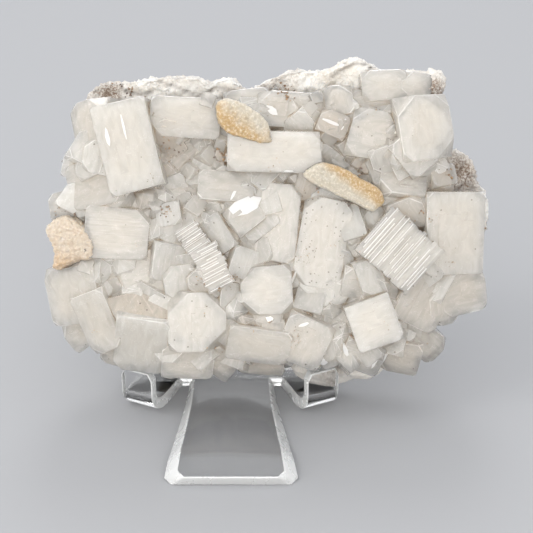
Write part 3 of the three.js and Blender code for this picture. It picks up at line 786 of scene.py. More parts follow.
def add_bed():
    columns = math.ceil(BED_HALF_WIDTH / BED_PITCH)
    rows = math.ceil(BED_HALF_HEIGHT / BED_PITCH)
    for row in range(-rows, rows + 1):
        for column in range(-columns, columns + 1):
            across = (column + 0.5 * (abs(row) % 2)) * BED_PITCH + scatter(column, row, 1)
            up = row * BED_PITCH + scatter(column, row, 2)
            if math.hypot(across / BED_HALF_WIDTH, up / BED_HALF_HEIGHT) > 1:
                continue
            out = BED_OUT + scatter(column, row, 3)
            size = BED_SIZE * (1 + 0.15 * scatter(column, row, 4))
            where = turned((across, up, out), 45 * scatter(column, row, 5),
                           14 * scatter(column, row, 6), 14 * scatter(column, row, 7))
            look = look_of(milk=0.75, stain=0.05 + 0.35 * stain_at(across, up))
            points = block_points(size * 1.15, size, BED_DEPTH, 1.5)
            add_hull(f"bed_{row}_{column}", points, where, look)
            add_heart((size * 1.15, size, BED_DEPTH), 2.5, where, look)


add_bed()

# %% [markdown]
# All the crystals grow from one milky mass. Without it the eye would look between the clear
# skins right through to the rock, and the gaps would be as dark as holes.

# %% The milky base
BASE_HALF_SIZE = (46, 30, 3.6)  # mm: across, up, out
BASE_MIDDLE = (-1, -1, -3.4)


def add_milky_base():
    """The milky mass that all the crystals grow from, brown where the stains are."""
    made = bmesh.ops.create_icosphere(hearts, subdivisions=5, radius=1.0)["verts"]
    for vertex in made:
        ray = vertex.co.normalized()
        place = (0.5 / max(abs(c) for c in ray) + 0.5) * ray
        x, y, z = (c * half for c, half in zip(place, BASE_HALF_SIZE))
        cloud = noise.fractal(Vector((x, y, 3)) * 0.15, 1.0, 2.0, 4)
        across, up, out = BASE_MIDDLE
        vertex.co = (across + x, up + y, z + out + 1.5 * cloud)
    for face in {face for vertex in made for face in vertex.link_faces}:
        middle = face.calc_center_median()
        face[heart_look] = look_of(stain=0.5 * stain_at(middle.x, middle.y))
        face.smooth = True


add_milky_base()
print("hearts and base:", len(hearts.faces), "faces")

# %% [markdown]
# Medium crystals fill the gaps, turned every way: half of them blocks, half irregular shards.
# They stand about as far out as the large ones around them, and keep off the large faces. Most
# large crystals may be overlapped along their edges, as if the crystals had grown into each
# other; a few stay clean, and those are the shapes that the eye finds first.


# %% Crystals that fill the gaps
def height_near(across, up):
    """How far out the nearest three large crystals stand, on average."""
    near = sorted(CRYSTALS + RIBBED_CRYSTALS,
                  key=lambda row: (row[0] - across) ** 2 + (row[1] - up) ** 2)[:3]
    return sum(row[2] for row in near) / 3


CLEAN = {0, 3, 5, 10, 20, 23, 32, 33, 40, 44, 49}  # large crystals with clean edges
MERGED = set(range(len(CRYSTALS))) - CLEAN
TRIES = 9000
FILL_DEPTH = 11  # mm
FILL_SIZES = (4.5, 10)  # mm
MERGED_LAP = 1.9  # mm of a merged crystal's rim that may be overlapped
TOO_BROWN = 0.75  # where it is browner than this, nothing is added


def add_fill():
    """Medium crystals, turned every way, where no large face lies."""
    rows = [row[:7] for row in CRYSTALS + RIBBED_CRYSTALS]
    made = 0
    for _ in range(TRIES):
        across, up = chance.uniform(-50, 46), chance.uniform(-33, 31)
        rim = abs((across + 2) / 50) ** 3 + abs((up + 1) / 33) ** 3
        if rim > 1 or stain_at(across, up) > TOO_BROWN:
            continue
        if any(covers(row, across, up, -MERGED_LAP if k in MERGED else -CLEAN_LAP)
               for k, row in enumerate(rows)):
            continue
        wide, tall = chance.uniform(*FILL_SIZES), chance.uniform(*FILL_SIZES)
        out = height_near(across, up) + chance.uniform(-2.2, 0.5)
        row = (across, up, out, wide, tall, FILL_DEPTH, chance.uniform(-45, 45),
               chance.uniform(-18, 18), chance.uniform(-18, 18))
        rows.append((across, up, out, wide * 0.72, tall * 0.72, FILL_DEPTH, row[6]))
        look = look_of(milk=chance.uniform(0.72, 0.95), stain=0.5 * stain_at(across, up),
                       stripes=chance.choice((0.0, 0.05, 0.4)), specks=chance.choice((0.04, 0.12)))
        where = turned((across, up, out), *row[6:])
        if chance.random() < 0.5:
            points, edge = shard_points(wide, tall, FILL_DEPTH), 0.07
            add_heart((wide * 0.8, tall * 0.8, 9), 2.5, where, look, depth=0.45)
        else:
            points = block_points(wide, tall, FILL_DEPTH, chance.uniform(0.8, 2.2))
            edge = 0.13
            add_heart((wide, tall, FILL_DEPTH), 3, where, look)
        add_hull(f"fill_{made}", points, where, look, edge=edge)
        made += 1
    print(made, "crystals fill the gaps")


add_fill()

# %% [markdown]
# The small crystals are the same few shapes many times over: three pale ones and three brown
# ones, all small blocks with cut corners.

# %% Small crystals, pale and brown
KINDS = 3  # small shapes of each colour, first the pale ones
small_shapes = new_collection("small_shapes")
for k in range(2 * KINDS):
    brown = k >= KINDS
    size = (1.0, chance.uniform(0.8, 1.5), 1.8)
    seed_look = look_of(milk=0.7, stain=0.5 if brown else 0.1)
    add_hull(f"{k}_small", block_points(*size, 0.16), Matrix(), seed_look, edge=0.03,
             into=small_shapes)

# %% [markdown]
# Geometry Nodes place them, and need a surface to strew them on. It is a flat oval sheet, just
# behind the large faces, and each corner of it knows how brown its place is.


# %% The sheet of places
def sheet_of_places(name, half_wide, half_tall, out, step):
    """A flat grid in the specimen's frame with the stain of each corner stored."""
    work = bmesh.new()
    stain = work.verts.layers.float.new("brown")
    rows = {}
    for i in range(round(2 * half_wide / step) + 1):
        for j in range(round(2 * half_tall / step) + 1):
            x, y = i * step - half_wide, j * step - half_tall
            if math.hypot(x / half_wide, y / half_tall) > 1:
                continue
            corner = work.verts.new((x, y, out))
            corner[stain] = stain_at(x, y)
            rows[i, j] = corner
    for (i, j), corner in rows.items():
        ring = [rows.get(key) for key in ((i, j), (i + 1, j), (i + 1, j + 1), (i, j + 1))]
        if all(ring):
            work.faces.new(ring)
    return link_object(name, mesh_from(work, name))


# %% [markdown]
# A tree gets named inputs, so that sizes and seeds stand where the tree is used and not inside
# it. When it has run, its result is read off as a plain mesh. A few steps that several trees
# share get a short name here.


# %% Helpers for Geometry Nodes
def geometry_tree(name, inputs):
    """A Geometry Nodes tree with a geometry input and output and the named inputs."""
    tree = bpy.data.node_groups.new(name, "GeometryNodeTree")
    tree.interface.new_socket("Geometry", in_out="INPUT", socket_type="NodeSocketGeometry")
    tree.interface.new_socket("Geometry", in_out="OUTPUT", socket_type="NodeSocketGeometry")
    for label, kind in inputs.items():
        tree.interface.new_socket(label, in_out="INPUT", socket_type=kind)
    return tree, add_node(tree, "NodeGroupInput").outputs, add_node(tree, "NodeGroupOutput")


def finished(host, tree, values):
    """Runs a tree on the host and returns the result as a plain mesh. The host goes."""
    modifier = host.modifiers.new("nodes", "NODES")
    modifier.node_group = tree
    for socket in tree.interface.items_tree:
        if socket.in_out == "INPUT" and socket.name in values:
            modifier[socket.identifier] = values[socket.name]
    return evaluated(host)


def dress(tree, geometry, given, result):
    """Ends a tree: instances become real faces and get the material."""
    real = add_node(tree, "GeometryNodeRealizeInstances", {"Geometry": geometry})
    dressed = add_node(tree, "GeometryNodeSetMaterial", {
        "Geometry": real.outputs[0], "Material": given["Material"],
    })
    tree.links.new(dressed.outputs[0], result.inputs["Geometry"])
    return tree


def roll(tree, seed, kind="FLOAT", **limits):
    """A random value for each point, between the limits Min and Max."""
    return add_node(tree, "FunctionNodeRandomValue", {**limits, "Seed": seed},
                    data_type=kind).outputs["Value"]


def named(tree, name):
    """A number that was stored on the mesh, for Geometry Nodes."""
    return add_node(tree, "GeometryNodeInputNamedAttribute", {"Name": name}).outputs[0]


def shapes_of(tree, collection, reset=True):
    """The shapes of a collection, each as an instance of its own."""
    return add_node(tree, "GeometryNodeCollectionInfo", {
        "Collection": collection, "Separate Children": True, "Reset Children": reset,
    }).outputs[0]


# %% [markdown]
# Points are strewn over the sheet. Each takes one of the shapes, turned and sized at random, and
# a brown one where the sheet is marked brown. The tree then joins these and all the large
# crystals into one closed surface. That join matters: light in a clear crystal must not meet
# walls that a single grown mass doesn't have.


# %% The tree that grows the crystals
def grow_tree():
    tree, given, result = geometry_tree("grow", {
        "Large": "NodeSocketCollection", "Small": "NodeSocketCollection",
        "Spacing": "NodeSocketFloat", "Smallest": "NodeSocketFloat", "Largest": "NodeSocketFloat",
        "Seed": "NodeSocketInt", "Material": "NodeSocketMaterial",
    })
    seed = given["Seed"]
    points = add_node(tree, "GeometryNodeDistributePointsOnFaces", {
        "Mesh": given["Geometry"], "Distance Min": given["Spacing"], "Density Max": 0.2,
        "Seed": seed,
    }, distribute_method="POISSON").outputs["Points"]
    is_brown = calc(tree, "GREATER_THAN", named(tree, "brown"), roll(tree, seed))
    shape = calc(tree, "MULTIPLY_ADD", is_brown, KINDS, roll(tree, seed, "INT", Max=KINDS - 1))
    small = add_node(tree, "GeometryNodeInstanceOnPoints", {
        "Points": points, "Instance": shapes_of(tree, given["Small"]), "Pick Instance": True,
        "Instance Index": shape,
        "Rotation": roll(tree, seed, "FLOAT_VECTOR", Min=(-0.5, -0.5, -3), Max=(0.5, 0.5, 3)),
        "Scale": roll(tree, seed, Min=given["Smallest"], Max=given["Largest"]),
    })
    moved = add_node(tree, "GeometryNodeTranslateInstances", {
        "Instances": small.outputs[0],
        "Translation": roll(tree, seed, "FLOAT_VECTOR", Min=(0, 0, -2.5), Max=(0, 0, 1.5)),
    })
    joined = add_node(tree, "GeometryNodeMeshBoolean", operation="UNION", solver="MANIFOLD")
    for part in (shapes_of(tree, given["Large"], reset=False), moved.outputs[0]):
        tree.links.new(part, joined.inputs["Mesh 2"])
    return dress(tree, joined.outputs["Mesh"], given, result)


# %% [markdown]
# ## Apophyllite
# Apophyllite is a clear to milky mineral with glassy sides and a pearly front, IOR 1.535. The
# milk comes from fine veils inside. Here the clear share is plain transmission, with a faint
# warm absorption, and the milky share lets light wander under the skin (subsurface). Veils are
# noise stretched along the crystal, and threads are fine growth lines about a millimetre apart.
# White fissures run through it where a cell pattern is broken up by noise.

# %% The crystal's patterns
apophyllite, tree, output = new_material("apophyllite_crystal")
own = millimetres(tree, "own")
look = add_node(tree, "ShaderNodeAttribute", attribute_name="look")
parts = add_node(tree, "ShaderNodeSeparateColor", {"Color": look.outputs["Color"]}).outputs
milk, stain, specks = parts["Red"], parts["Green"], parts["Blue"]
stripes = look.outputs["Alpha"]

veils = cloudy(tree, stretched(tree, own, (0.42, 0.16, 0.3)), 1.0, 5.0, 0.6, 1.2)
cloud = cloudy(tree, own, 0.13, 4.0, 0.55)
lines = cloudy(tree, stretched(tree, own, (1.1, 0.02, 1.1)), 1.0, 3.0, 0.7)
grit = cloudy(tree, own, 2.6, 3.0, 0.6)
wander = add_node(tree, "ShaderNodeTexNoise", {"Vector": own, "Scale": 0.4, "Detail": 2.0})
bent_own = add_node(tree, "ShaderNodeVectorMath", {
    0: wander.outputs["Color"], 1: (3.0, 3.0, 3.0), 2: own,
}, operation="MULTIPLY_ADD").outputs[0]
cells = add_node(tree, "ShaderNodeTexVoronoi", {"Vector": bent_own, "Scale": 0.22},
                 feature="DISTANCE_TO_EDGE").outputs["Distance"]
fissures = calc(tree, "MULTIPLY", ramp(tree, cells, 0.008, 0.05, 1.0, 0.0),
                ramp(tree, grit, 0.5, 0.65, 0.0, 0.12))
# Worn edges are painted whiter as wear and as a painted highlight; pearly faces (milk above 1) are
# a painted highlight.
worn_edge_highlight = calc(tree, "MULTIPLY", stored(tree, "worn_edge_highlight"), ramp(tree, cloud, 0.4, 0.62, 0.0, 0.2))
pearly_highlight_paint = ramp(tree, milk, 1.0, PEARLY_HIGHLIGHT_MILK)

# %% [markdown]
# How clear a place is: less so with more milk, on worn edges (partly a painted highlight), on the
# painted pearly highlights, and in fissures.

# %% How clear the crystal is
milkiness = calc(tree, "ADD", milk, ramp(tree, veils, 0.3, 0.7, -0.16, 0.12))
milkiness = calc(tree, "MULTIPLY_ADD", worn_edge_highlight, 0.35, milkiness, clamp=True)
clear = calc(tree, "MULTIPLY_ADD", milkiness, -0.42, 1.0)
for cause, loss in ((worn_edge_highlight, -0.6), (pearly_highlight_paint, -0.15), (fissures, -0.7)):
    clear = calc(tree, "MULTIPLY_ADD", cause, loss, clear, clamp=True)

# %% [markdown]
# The colour starts as a warm white and is changed step by step: white threads and fissures,
# edges painted whiter (partly wear, partly a painted highlight), pearly faces painted white as a
# highlight, honey where iron has stained it, a painted brownish shade where little sky is seen
# (occlusion finds the gaps), and specks of manganese oxide. Real specks are a tenth of a
# millimetre; these are up to 0.4 mm, so that they survive the size of the picture. They lie in
# clumps.

# %% The crystal's colours and surface
tone = mix(tree, cloud, "D3D0CA", "E3E1DD")
threads = calc(tree, "MULTIPLY", ramp(tree, lines, 0.56, 0.66, 0.0, 0.8), stripes)
tone = mix(tree, threads, tone, "FCFBF9")
tone = mix(tree, fissures, tone, "FFFFFF")
# Painted highlight: worn edges, partly as wear, and pearly faces are painted white.
tone = mix(tree, calc(tree, "ADD", worn_edge_highlight, pearly_highlight_paint, clamp=True), tone, "FFFFFF")
stained = calc(tree, "MULTIPLY", stain, cloud)
tone = mix(tree, calc(tree, "MULTIPLY", stained, 1.5, clamp=True), tone, "D2B896")
# Painted shade: a brownish darkening where occlusion finds the gaps between crystals.
open_sky = add_node(tree, "ShaderNodeAmbientOcclusion", {"Distance": 0.0012}, samples=5)
painted_gap_shade = ramp(tree, open_sky.outputs["AO"], 0.2, 0.55, 1.0, 0.0)
tone = mix(tree, calc(tree, "MULTIPLY", painted_gap_shade, cloud), tone, "C9B296")

spots = add_node(tree, "ShaderNodeTexVoronoi", {"Vector": own, "Scale": 0.85, "Randomness": 1.0})
spot_dice = add_node(tree, "ShaderNodeSeparateColor", {"Color": spots.outputs["Color"]})
clumps = calc(tree, "MULTIPLY", ramp(tree, cloud, 0.46, 0.56, 0.0, 1.3), specks)
chosen = calc(tree, "LESS_THAN", spot_dice.outputs["Red"], clumps)
speck = calc(tree, "MULTIPLY", calc(tree, "LESS_THAN", spots.outputs["Distance"], 0.19), chosen)
tone = mix(tree, calc(tree, "MULTIPLY", speck, 0.85), tone, "6B5E56")

height = calc(tree, "MULTIPLY", lines, stripes)
height = calc(tree, "MULTIPLY_ADD", grit, 0.03, height)
height = calc(tree, "MULTIPLY_ADD", veils, 0.12, height)
set_surface(tree, output, {
    "Base Color": tone, "Roughness": ramp(tree, grit, 0.3, 0.75, 0.05, 0.22), "IOR": 1.535,
    "Transmission Weight": clear, "Subsurface Weight": 1.0, "Subsurface Scale": 0.009,
    "Subsurface Radius": (1.0, 0.97, 0.92), "Normal": bumpy(tree, height, 0.6, 0.0004),
})
absorb = add_node(tree, "ShaderNodeVolumeAbsorption", {"Color": colour("F6F3ED"), "Density": 5.0})
tree.links.new(absorb.outputs["Volume"], output.inputs["Volume"])
print("crystal material:", len(tree.nodes), "nodes")

# %% [markdown]
# Now the mass grows. It takes the place of the plain crystals of the CAD model.

# %% Growing the crystal mass
places = sheet_of_places("places", half_wide=53, half_tall=36, out=-0.5, step=2.0)
crystal_mesh = finished(places, grow_tree(), {
    "Large": crystal_parts, "Small": small_shapes, "Spacing": 2.8, "Smallest": 2.0,
    "Largest": 4.6, "Seed": 11, "Material": apophyllite,
})
crystal_mesh.transform(SPECIMEN)
crystals = link_object("apophyllite_crystals", crystal_mesh)
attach(crystals, "root")
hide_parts("apophyllite")
print("crystals:", len(crystal_mesh.polygons), "faces")

# %% [markdown]
# The hearts are one plain mesh, because nothing is seen through them. Their white is matt and
# uneven, like frosted glass, and turns honey where the brown places are.

# %% The milky hearts
milky, tree, output = new_material("apophyllite_milky_heart")
haze = cloudy(tree, millimetres(tree), 0.35, 5.0, 0.6)
look = add_node(tree, "ShaderNodeAttribute", attribute_name="look")
parts = add_node(tree, "ShaderNodeSeparateColor", {"Color": look.outputs["Color"]}).outputs
pale = mix(tree, haze, "ECE8E1", "F8F6F2")
set_surface(tree, output, {
    "Base Color": mix(tree, parts["Green"], pale, "CBAF8D"), "Roughness": 0.7,
    "Specular IOR Level": 0.2,
})
heart_mesh = mesh_from(hearts, "apophyllite_hearts")
heart_mesh.materials.append(milky)
heart_mesh.transform(SPECIMEN)
heart_object = link_object("apophyllite_hearts", heart_mesh)
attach(heart_object, "root")
for helper in (crystal_parts, small_shapes):
    remove_collection(helper)
print("hearts:", len(heart_mesh.polygons), "faces")

# %% [markdown]
# ## The rock
# The rock is a rough plate that follows an outline, with lumps at its foot that rest in the
# easel's hooks. The corners of the outline are written down; a smooth curve runs through them.

# %% The rock's outline
ROCK_OUTLINE = [
    (-46, 37.5), (-41, 38.6), (-34, 38.9), (-28.5, 39.8), (-19.5, 39.9), (-15.5, 38.5),
    (-10, 39.7), (-5.8, 36.4), (-2, 38.2), (5, 41.2), (12.5, 41.6), (16.5, 42.2),
    (21.5, 45), (26.5, 43.8), (29, 42.2), (35, 41.3), (43.5, 41), (44, 35),
    (45.5, 30), (46, 22), (53, 19.5), (55.5, 15.5), (56.3, 11), (58.6, 9),
    (59.8, 2), (58, -3), (54, -9), (51, -17), (44, -24), (40, -32),
    (30, -37), (22, -41), (12, -40), (4, -38.5), (-9, -40.6), (-22, -40.2),
    (-33, -37), (-43, -33), (-51, -27), (-55, -20), (-55.5, -12), (-53, -4),
    (-56, 5), (-56.5, 8), (-53, 11), (-52, 17), (-50.5, 25), (-50, 31),
]
ROCK_HALF_HEIGHT = 40
ROCK_RINGS = [(0.3, -8.8), (0.55, -8.5), (0.8, -6.8), (0.93, -5.2), (0.99, -4.5), (1.0, -9),
              (1.0, -14), (0.97, -18.5), (0.86, -22.2), (0.6, -22.6), (0.3, -22.6)]
ROCK_FALL = 2.2
ROCK_LUMPS = [
    (-27, -40.6, -19.2, 4, 3.6, 3.4),  # rests in the left hook
    (16.5, -38.6, -15.5, 11, 6.6, 5.8),  # hangs into the right hook
    (25, -37, -13, 8, 6, 6),  # shoulder beside it
    (43, 37.5, -5, 4, 4.5, 4),  # broken tip, upper right
    (50, 10.5, -11, 7, 9, 5),  # broken ledge, right
]
VOXEL = 0.8  # mm
BACK_FROM = -12  # mm out of the face; what lies deeper belongs to the back
print(len(ROCK_OUTLINE), "corners,", len(ROCK_LUMPS), "lumps")

# %% [markdown]
# Rings round the outline from front to back make the rock's body. A voxel remesh melts plate and
# lumps into one skin of even squares, small enough to be pushed into crumbs.


# %% The rock's body
def smooth_loop(corners, steps):
    """A closed curve through the corners, with some steps between each two."""
    points = []
    count = len(corners)
    for i in range(count):
        a, b, c, d = (Vector(corners[(i + k - 1) % count]) for k in range(4))
        for s in range(steps):
            t = s / steps
            points.append(0.5 * ((2 * b) + (c - a) * t + (2 * a - 5 * b + 4 * c - d) * t * t
                                 + (3 * b - a - 3 * c + d) * t ** 3))
    return points


def ring_mesh(work, rings):
    """Joins rings of points into a closed skin, with a point at each end."""
    first, last = (sum(ring, Vector()) / len(ring) for ring in (rings[0], rings[-1]))
    rows = [[work.verts.new(p) for p in ring] for ring in rings]
    start, end = work.verts.new(first), work.verts.new(last)
    count = len(rows[0])
    for i in range(count):
        j = (i + 1) % count
        work.faces.new((start, rows[0][j], rows[0][i]))
        for a, b in zip(rows, rows[1:]):
            work.faces.new((a[i], a[j], b[j], b[i]))
        work.faces.new((end, rows[-1][i], rows[-1][j]))


def rock_base():
    work = bmesh.new()
    edge = smooth_loop(ROCK_OUTLINE, 3)
    rings = []
    for share, out in ROCK_RINGS:
        ring = []
        for x, y in edge:
            fall = ROCK_FALL * (y / ROCK_HALF_HEIGHT - 1) if out > BACK_FROM else 0
            ring.append(Vector((x * share, y * share, out + fall)))
        rings.append(ring)
    ring_mesh(work, rings)
    for across, up, out, *half in ROCK_LUMPS:
        made = bmesh.ops.create_icosphere(work, subdivisions=3, radius=1.0)["verts"]
        bmesh.ops.scale(work, vec=half, verts=made)
        bmesh.ops.translate(work, vec=(across, up, out), verts=made)
    bmesh.ops.recalc_face_normals(work, faces=work.faces)
    return mesh_from(work, "rock")


rock_mesh = voxel_skin(rock_base(), VOXEL)
print("rock skin:", len(rock_mesh.polygons), "faces")

# %% [markdown]
# Three attributes, worked out from each point's place, say where the rock is crumbly (its front
# rim and top), where it is brown, and where a thin crack runs, which the material paints dark as
# shade.

# %% Marking the rock
# Cracks along the top rim and on the ledge at the right: across, up.
CRACKS = [
    [(49.5, 9), (52.5, 11.5), (55, 9.5)], [(47.5, 15), (50.5, 14), (52, 17)],
    [(54, 13.5), (57, 12)],
    [(-29, 38.2), (-23.5, 36.3), (-19.3, 34.2), (-17, 34.5), (-14.6, 36.3), (-9.6, 36)],
    [(16, 39), (20, 41.6), (24, 43.2), (27.8, 41.6)],
    [(-38, 35.6), (-34.5, 34.6), (-31, 35.2)],
    [(3.5, 35), (7, 33.8), (10, 35.2)],
]


def line_distance(point, line):
    """How far a place is from a line of straight runs."""
    best = 99.0
    for a, b in zip(line, line[1:]):
        a, b = Vector(a), Vector(b)
        share = min(1.0, max(0.0, (point - a).dot(b - a) / (b - a).length_squared))
        best = min(best, (point - a.lerp(b, share)).length)
    return best


CRACK_WIDTH = 0.75  # mm, from the middle of a crack to where it ends


def mark_rock(mesh):
    """Stores how crumbly, brown and cracked each point is, from 0 to 1."""
    for name in ("crumbly", "brown", "crack"):
        mesh.attributes.new(name, "FLOAT", "POINT")
    crumbly, brown, crack = (mesh.attributes[n] for n in ("crumbly", "brown", "crack"))
    for vertex in mesh.vertices:
        across, up, out = vertex.co
        near = min(line_distance(Vector((across, up)), line) for line in CRACKS)
        if out > BACK_FROM:
            crack.data[vertex.index].value = max(0.0, 1 - near / CRACK_WIDTH)
        # The front rim at the top and the right edge are the most crumbly.
        rough = max(0.25, (up - 20) / 12 + (out + 14) / 8, (across - 42) / 7)
        crumbly.data[vertex.index].value = min(1.0, rough)
        # At the back the brown lies in broken patches of its own.
        front = min(1.0, max(0.0, (out + 15) / 5))
        patch = 0.9 * max(0.0, noise.fractal(vertex.co * 0.07, 1.0, 2.0, 4) - 0.05)
        brown.data[vertex.index].value = min(1.0, front * stain_at(across, up) + patch)


# %% [markdown]
# Crumbs come from Geometry Nodes: each point of the skin moves along its normal by a slow noise,
# and by a cell pattern whose cells are grains. Cracks sink in a little.


# %% Crumbling the rock
def crumble_tree():
    tree, given, result = geometry_tree("crumble", {
        "Lump": "NodeSocketFloat", "Lump Height": "NodeSocketFloat",
        "Grain": "NodeSocketFloat", "Grain Height": "NodeSocketFloat",
        "Material": "NodeSocketMaterial",
    })
    place = add_node(tree, "GeometryNodeInputPosition").outputs[0]
    normal = add_node(tree, "GeometryNodeInputNormal").outputs[0]
    lumps = cloudy(tree, place, calc(tree, "DIVIDE", 1.0, given["Lump"]), 3.0, 0.55)
    lump = calc(tree, "MULTIPLY", calc(tree, "SUBTRACT", lumps, 0.5), given["Lump Height"])
    grains = add_node(tree, "ShaderNodeTexVoronoi", {
        "Vector": place, "Scale": calc(tree, "DIVIDE", 1.0, given["Grain"]), "Detail": 1.0,
        "Roughness": 0.6,
    }).outputs["Distance"]
    grain = calc(tree, "MULTIPLY", calc(tree, "SUBTRACT", 0.45, grains), given["Grain Height"])
    grain = calc(tree, "MULTIPLY", grain, named(tree, "crumbly"))
    height = calc(tree, "ADD", lump, grain)
    height = calc(tree, "MULTIPLY_ADD", named(tree, "crack"), -0.6, height)
    push = add_node(tree, "ShaderNodeVectorMath", {0: normal, "Scale": height}, operation="SCALE")
    moved = add_node(tree, "GeometryNodeSetPosition", {
        "Geometry": given["Geometry"], "Offset": push.outputs[0],
    })
    return dress(tree, moved.outputs[0], given, result)


# %% [markdown]
# The rock is a weathered, chalky zeolite crust over grey-brown basalt. The eye sees a matt,
# bright white rim made of grains a millimetre or two across, cream where it is stained, and
# grey-brown where it is freshly broken. The low spots of its relief and its cracks get a painted
# dark brown shade.

# %% The rock material
chalk, tree, output = new_material("zeolite_crust")
place = millimetres(tree)
patches = cloudy(tree, place, 0.12, 6.0, 0.62, 0.4)
grains = cloudy(tree, place, 1.8, 5.0, 0.75)
cells = add_node(tree, "ShaderNodeTexVoronoi", {"Vector": place, "Scale": 0.7, "Detail": 1.0})
tone = mix(tree, patches, "EAE6E0", "F9F7F3")
tone = mix(tree, ramp(tree, patches, 0.54, 0.7, 0.0, 0.45), tone, "D9CBB8")
stony = ramp(tree, stored(tree, "crumbly"), 0.25, 0.7, 0.5, 0.0)
tone = mix(tree, calc(tree, "MULTIPLY", stony, grains), tone, "9B8F84")
mottled = ramp(tree, grains, 0.42, 0.58, 0.3, 1.3)
rust = calc(tree, "MULTIPLY", stored(tree, "brown"), mottled, clamp=True)
tone = mix(tree, rust, tone, "8C7868")
# Painted shade: the low spots of the bump relief, and the cracks, are painted dark brown.
painted_pit_shade = ramp(tree, grains, 0.36, 0.27, 0.0, 0.75)
painted_pit_shade = calc(tree, "MULTIPLY_ADD", stored(tree, "crack"), 0.55, painted_pit_shade, clamp=True)
tone = mix(tree, painted_pit_shade, tone, "6B5C51")
height = calc(tree, "SUBTRACT", grains, cells.outputs["Distance"])
set_surface(tree, output, {
    "Base Color": tone, "Roughness": 0.85, "Specular IOR Level": 0.35,
    "Subsurface Weight": 0.25, "Subsurface Radius": (1.0, 0.9, 0.8), "Subsurface Scale": 0.0008,
    "Normal": bumpy(tree, height, 1.0, 0.0007),
})
print("rock material:", len(tree.nodes), "nodes")

# %% [markdown]
# The skin gets its marks, the tree crumbles it, and it takes the place of the plain rock.

# %% The rock, crumbled and placed
mark_rock(rock_mesh)
rock = link_object("rock_plate", rock_mesh)
rock_mesh = finished(rock, crumble_tree(), {
    "Lump": 4.0, "Lump Height": 2.4, "Grain": 1.7, "Grain Height": 1.3, "Material": chalk,
})
rock_mesh.transform(SPECIMEN)
rock_mesh.shade_smooth()
rock = link_object("rock_plate", rock_mesh)
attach(rock, "root")
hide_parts("matrix")
print("rock:", len(rock_mesh.polygons), "faces")

# %% [markdown]
# ## Stilbite
# Stilbite grows as thin silky blades that fan out from a point. Each blade here is a thick
# leaf with a voxel skin, whose surface rises and falls in ridges round the fan's root.

# %% The blades' outlines
# zone: a direction (two numbers), then the slope and the level of the deeper colour along it.
BLADES = {
    "stilbite_blade_upper": {
        "outline": [(-13.4, 31.4), (-12.2, 33.4), (-9.4, 33.4), (-5, 31.4), (-1, 28.2), (1, 24),
                    (0.4, 22.2), (-5.3, 23), (-10, 24.8), (-12.6, 27.4)],
        "out": 8.4, "thick": 4.6, "swing": 4, "root": (6, 20), "ridges": 46,
        "slot": "stilbite_honey", "zone": (0.6, 0.8, -0.26, 0.3), "lumps": 0.3,
    },
    "stilbite_blade_middle": {
        "outline": [(9, 14.8), (13.2, 17.4), (17.1, 16.8), (20.5, 15.3), (23.7, 13.3),
                    (26.8, 11.9), (29, 10), (30, 7.2), (28, 5.2), (26.2, 4.8), (22.8, 6.7),
                    (19, 8.4), (14.5, 10.6), (10.5, 12.6)],
        "out": 7.2, "thick": 4, "swing": 8, "root": (2, 20), "ridges": 60,
        "slot": "stilbite_honey", "zone": (0.6, 0.8, 0.45, 0.05), "lumps": 0.12,
    },
    "stilbite_sheaf_left": {
        "outline": [(-59.2, -0.5), (-57.6, 1.6), (-55, 3.2), (-51.2, 2.8), (-46, -1.8),
                    (-45.4, -5.2), (-46, -7.4), (-50, -8.4), (-55, -10.8), (-57, -10.4),
                    (-56.6, -5.8)],
        "out": 4.6, "thick": 9, "swing": -12, "root": (-42, -4), "ridges": 30,
        "slot": "stilbite_peach", "zone": (-0.3, -0.95, 0.12, -0.2), "lumps": 0.42,
    },
}
# The body from its face to its back: how large the outline is there, and how deep it lies.
BLADE_RINGS = [(0.55, 0.0), (0.86, -0.04), (0.965, -0.12), (1.0, -0.3), (0.99, -0.8),
               (0.8, -1.0), (0.5, -1.0)]
BLADE_VOXEL = 0.28  # mm
print(len(BLADES), "pieces of stilbite")

# %% [markdown]
# Stilbite is milky, with a silky sheen from its fine threads. The honey one runs from cream to
# amber, the peach one is paler. Crumbs of white and a little brown dirt lie on both.


# %% The stilbite materials
def silky_material(name, pale_hex, deep_hex, brown_hex, mottle):
    """Silky stilbite: fine threads along the fan, honey or peach with pale wisps."""
    material, tree, output = new_material(name)
    threads = stretched(tree, millimetres(tree, "own"), (1.0, 2.2, 1.0))
    threads = cloudy(tree, threads, 1.0, 4.0, 0.65)
    place = millimetres(tree)
    blotch, crumbs = cloudy(tree, place, 0.28, 5.0, 0.6), cloudy(tree, place, 1.7, 4.0, 0.7)
    deep = calc(tree, "MULTIPLY_ADD", blotch, 0.5, stored(tree, "depth"), clamp=True)
    tone = mix(tree, deep, pale_hex, deep_hex)
    tone = mix(tree, ramp(tree, threads, 0.55, 0.75, 0.0, 0.45), tone, brown_hex)
    tone = mix(tree, ramp(tree, crumbs, 0.48, 0.66, 0.0, mottle), tone, "F6EFE2")
    tone = mix(tree, ramp(tree, crumbs, 0.33, 0.27, 0.0, 0.6), tone, "6E5A42")
    set_surface(tree, output, {
        "Base Color": tone, "Roughness": 0.42, "IOR": 1.5, "Transmission Weight": 0.12,
        "Subsurface Weight": 0.8, "Subsurface Radius": (1.0, 0.85, 0.65),
        "Subsurface Scale": 0.0016, "Sheen Weight": 0.15,
        "Normal": bumpy(tree, calc(tree, "ADD", threads, crumbs), 0.8, 0.0004),
    })
    return material


SILKS = {
    "stilbite_honey": silky_material("stilbite_honey_silk", "BDB5A6", "B5986B", "96774C", 0.5),
    "stilbite_peach": silky_material("stilbite_peach_silk", "C4B6A5", "BBA081", "A37E55", 0.35),
}
print("materials:", *(silk.name for silk in SILKS.values()))

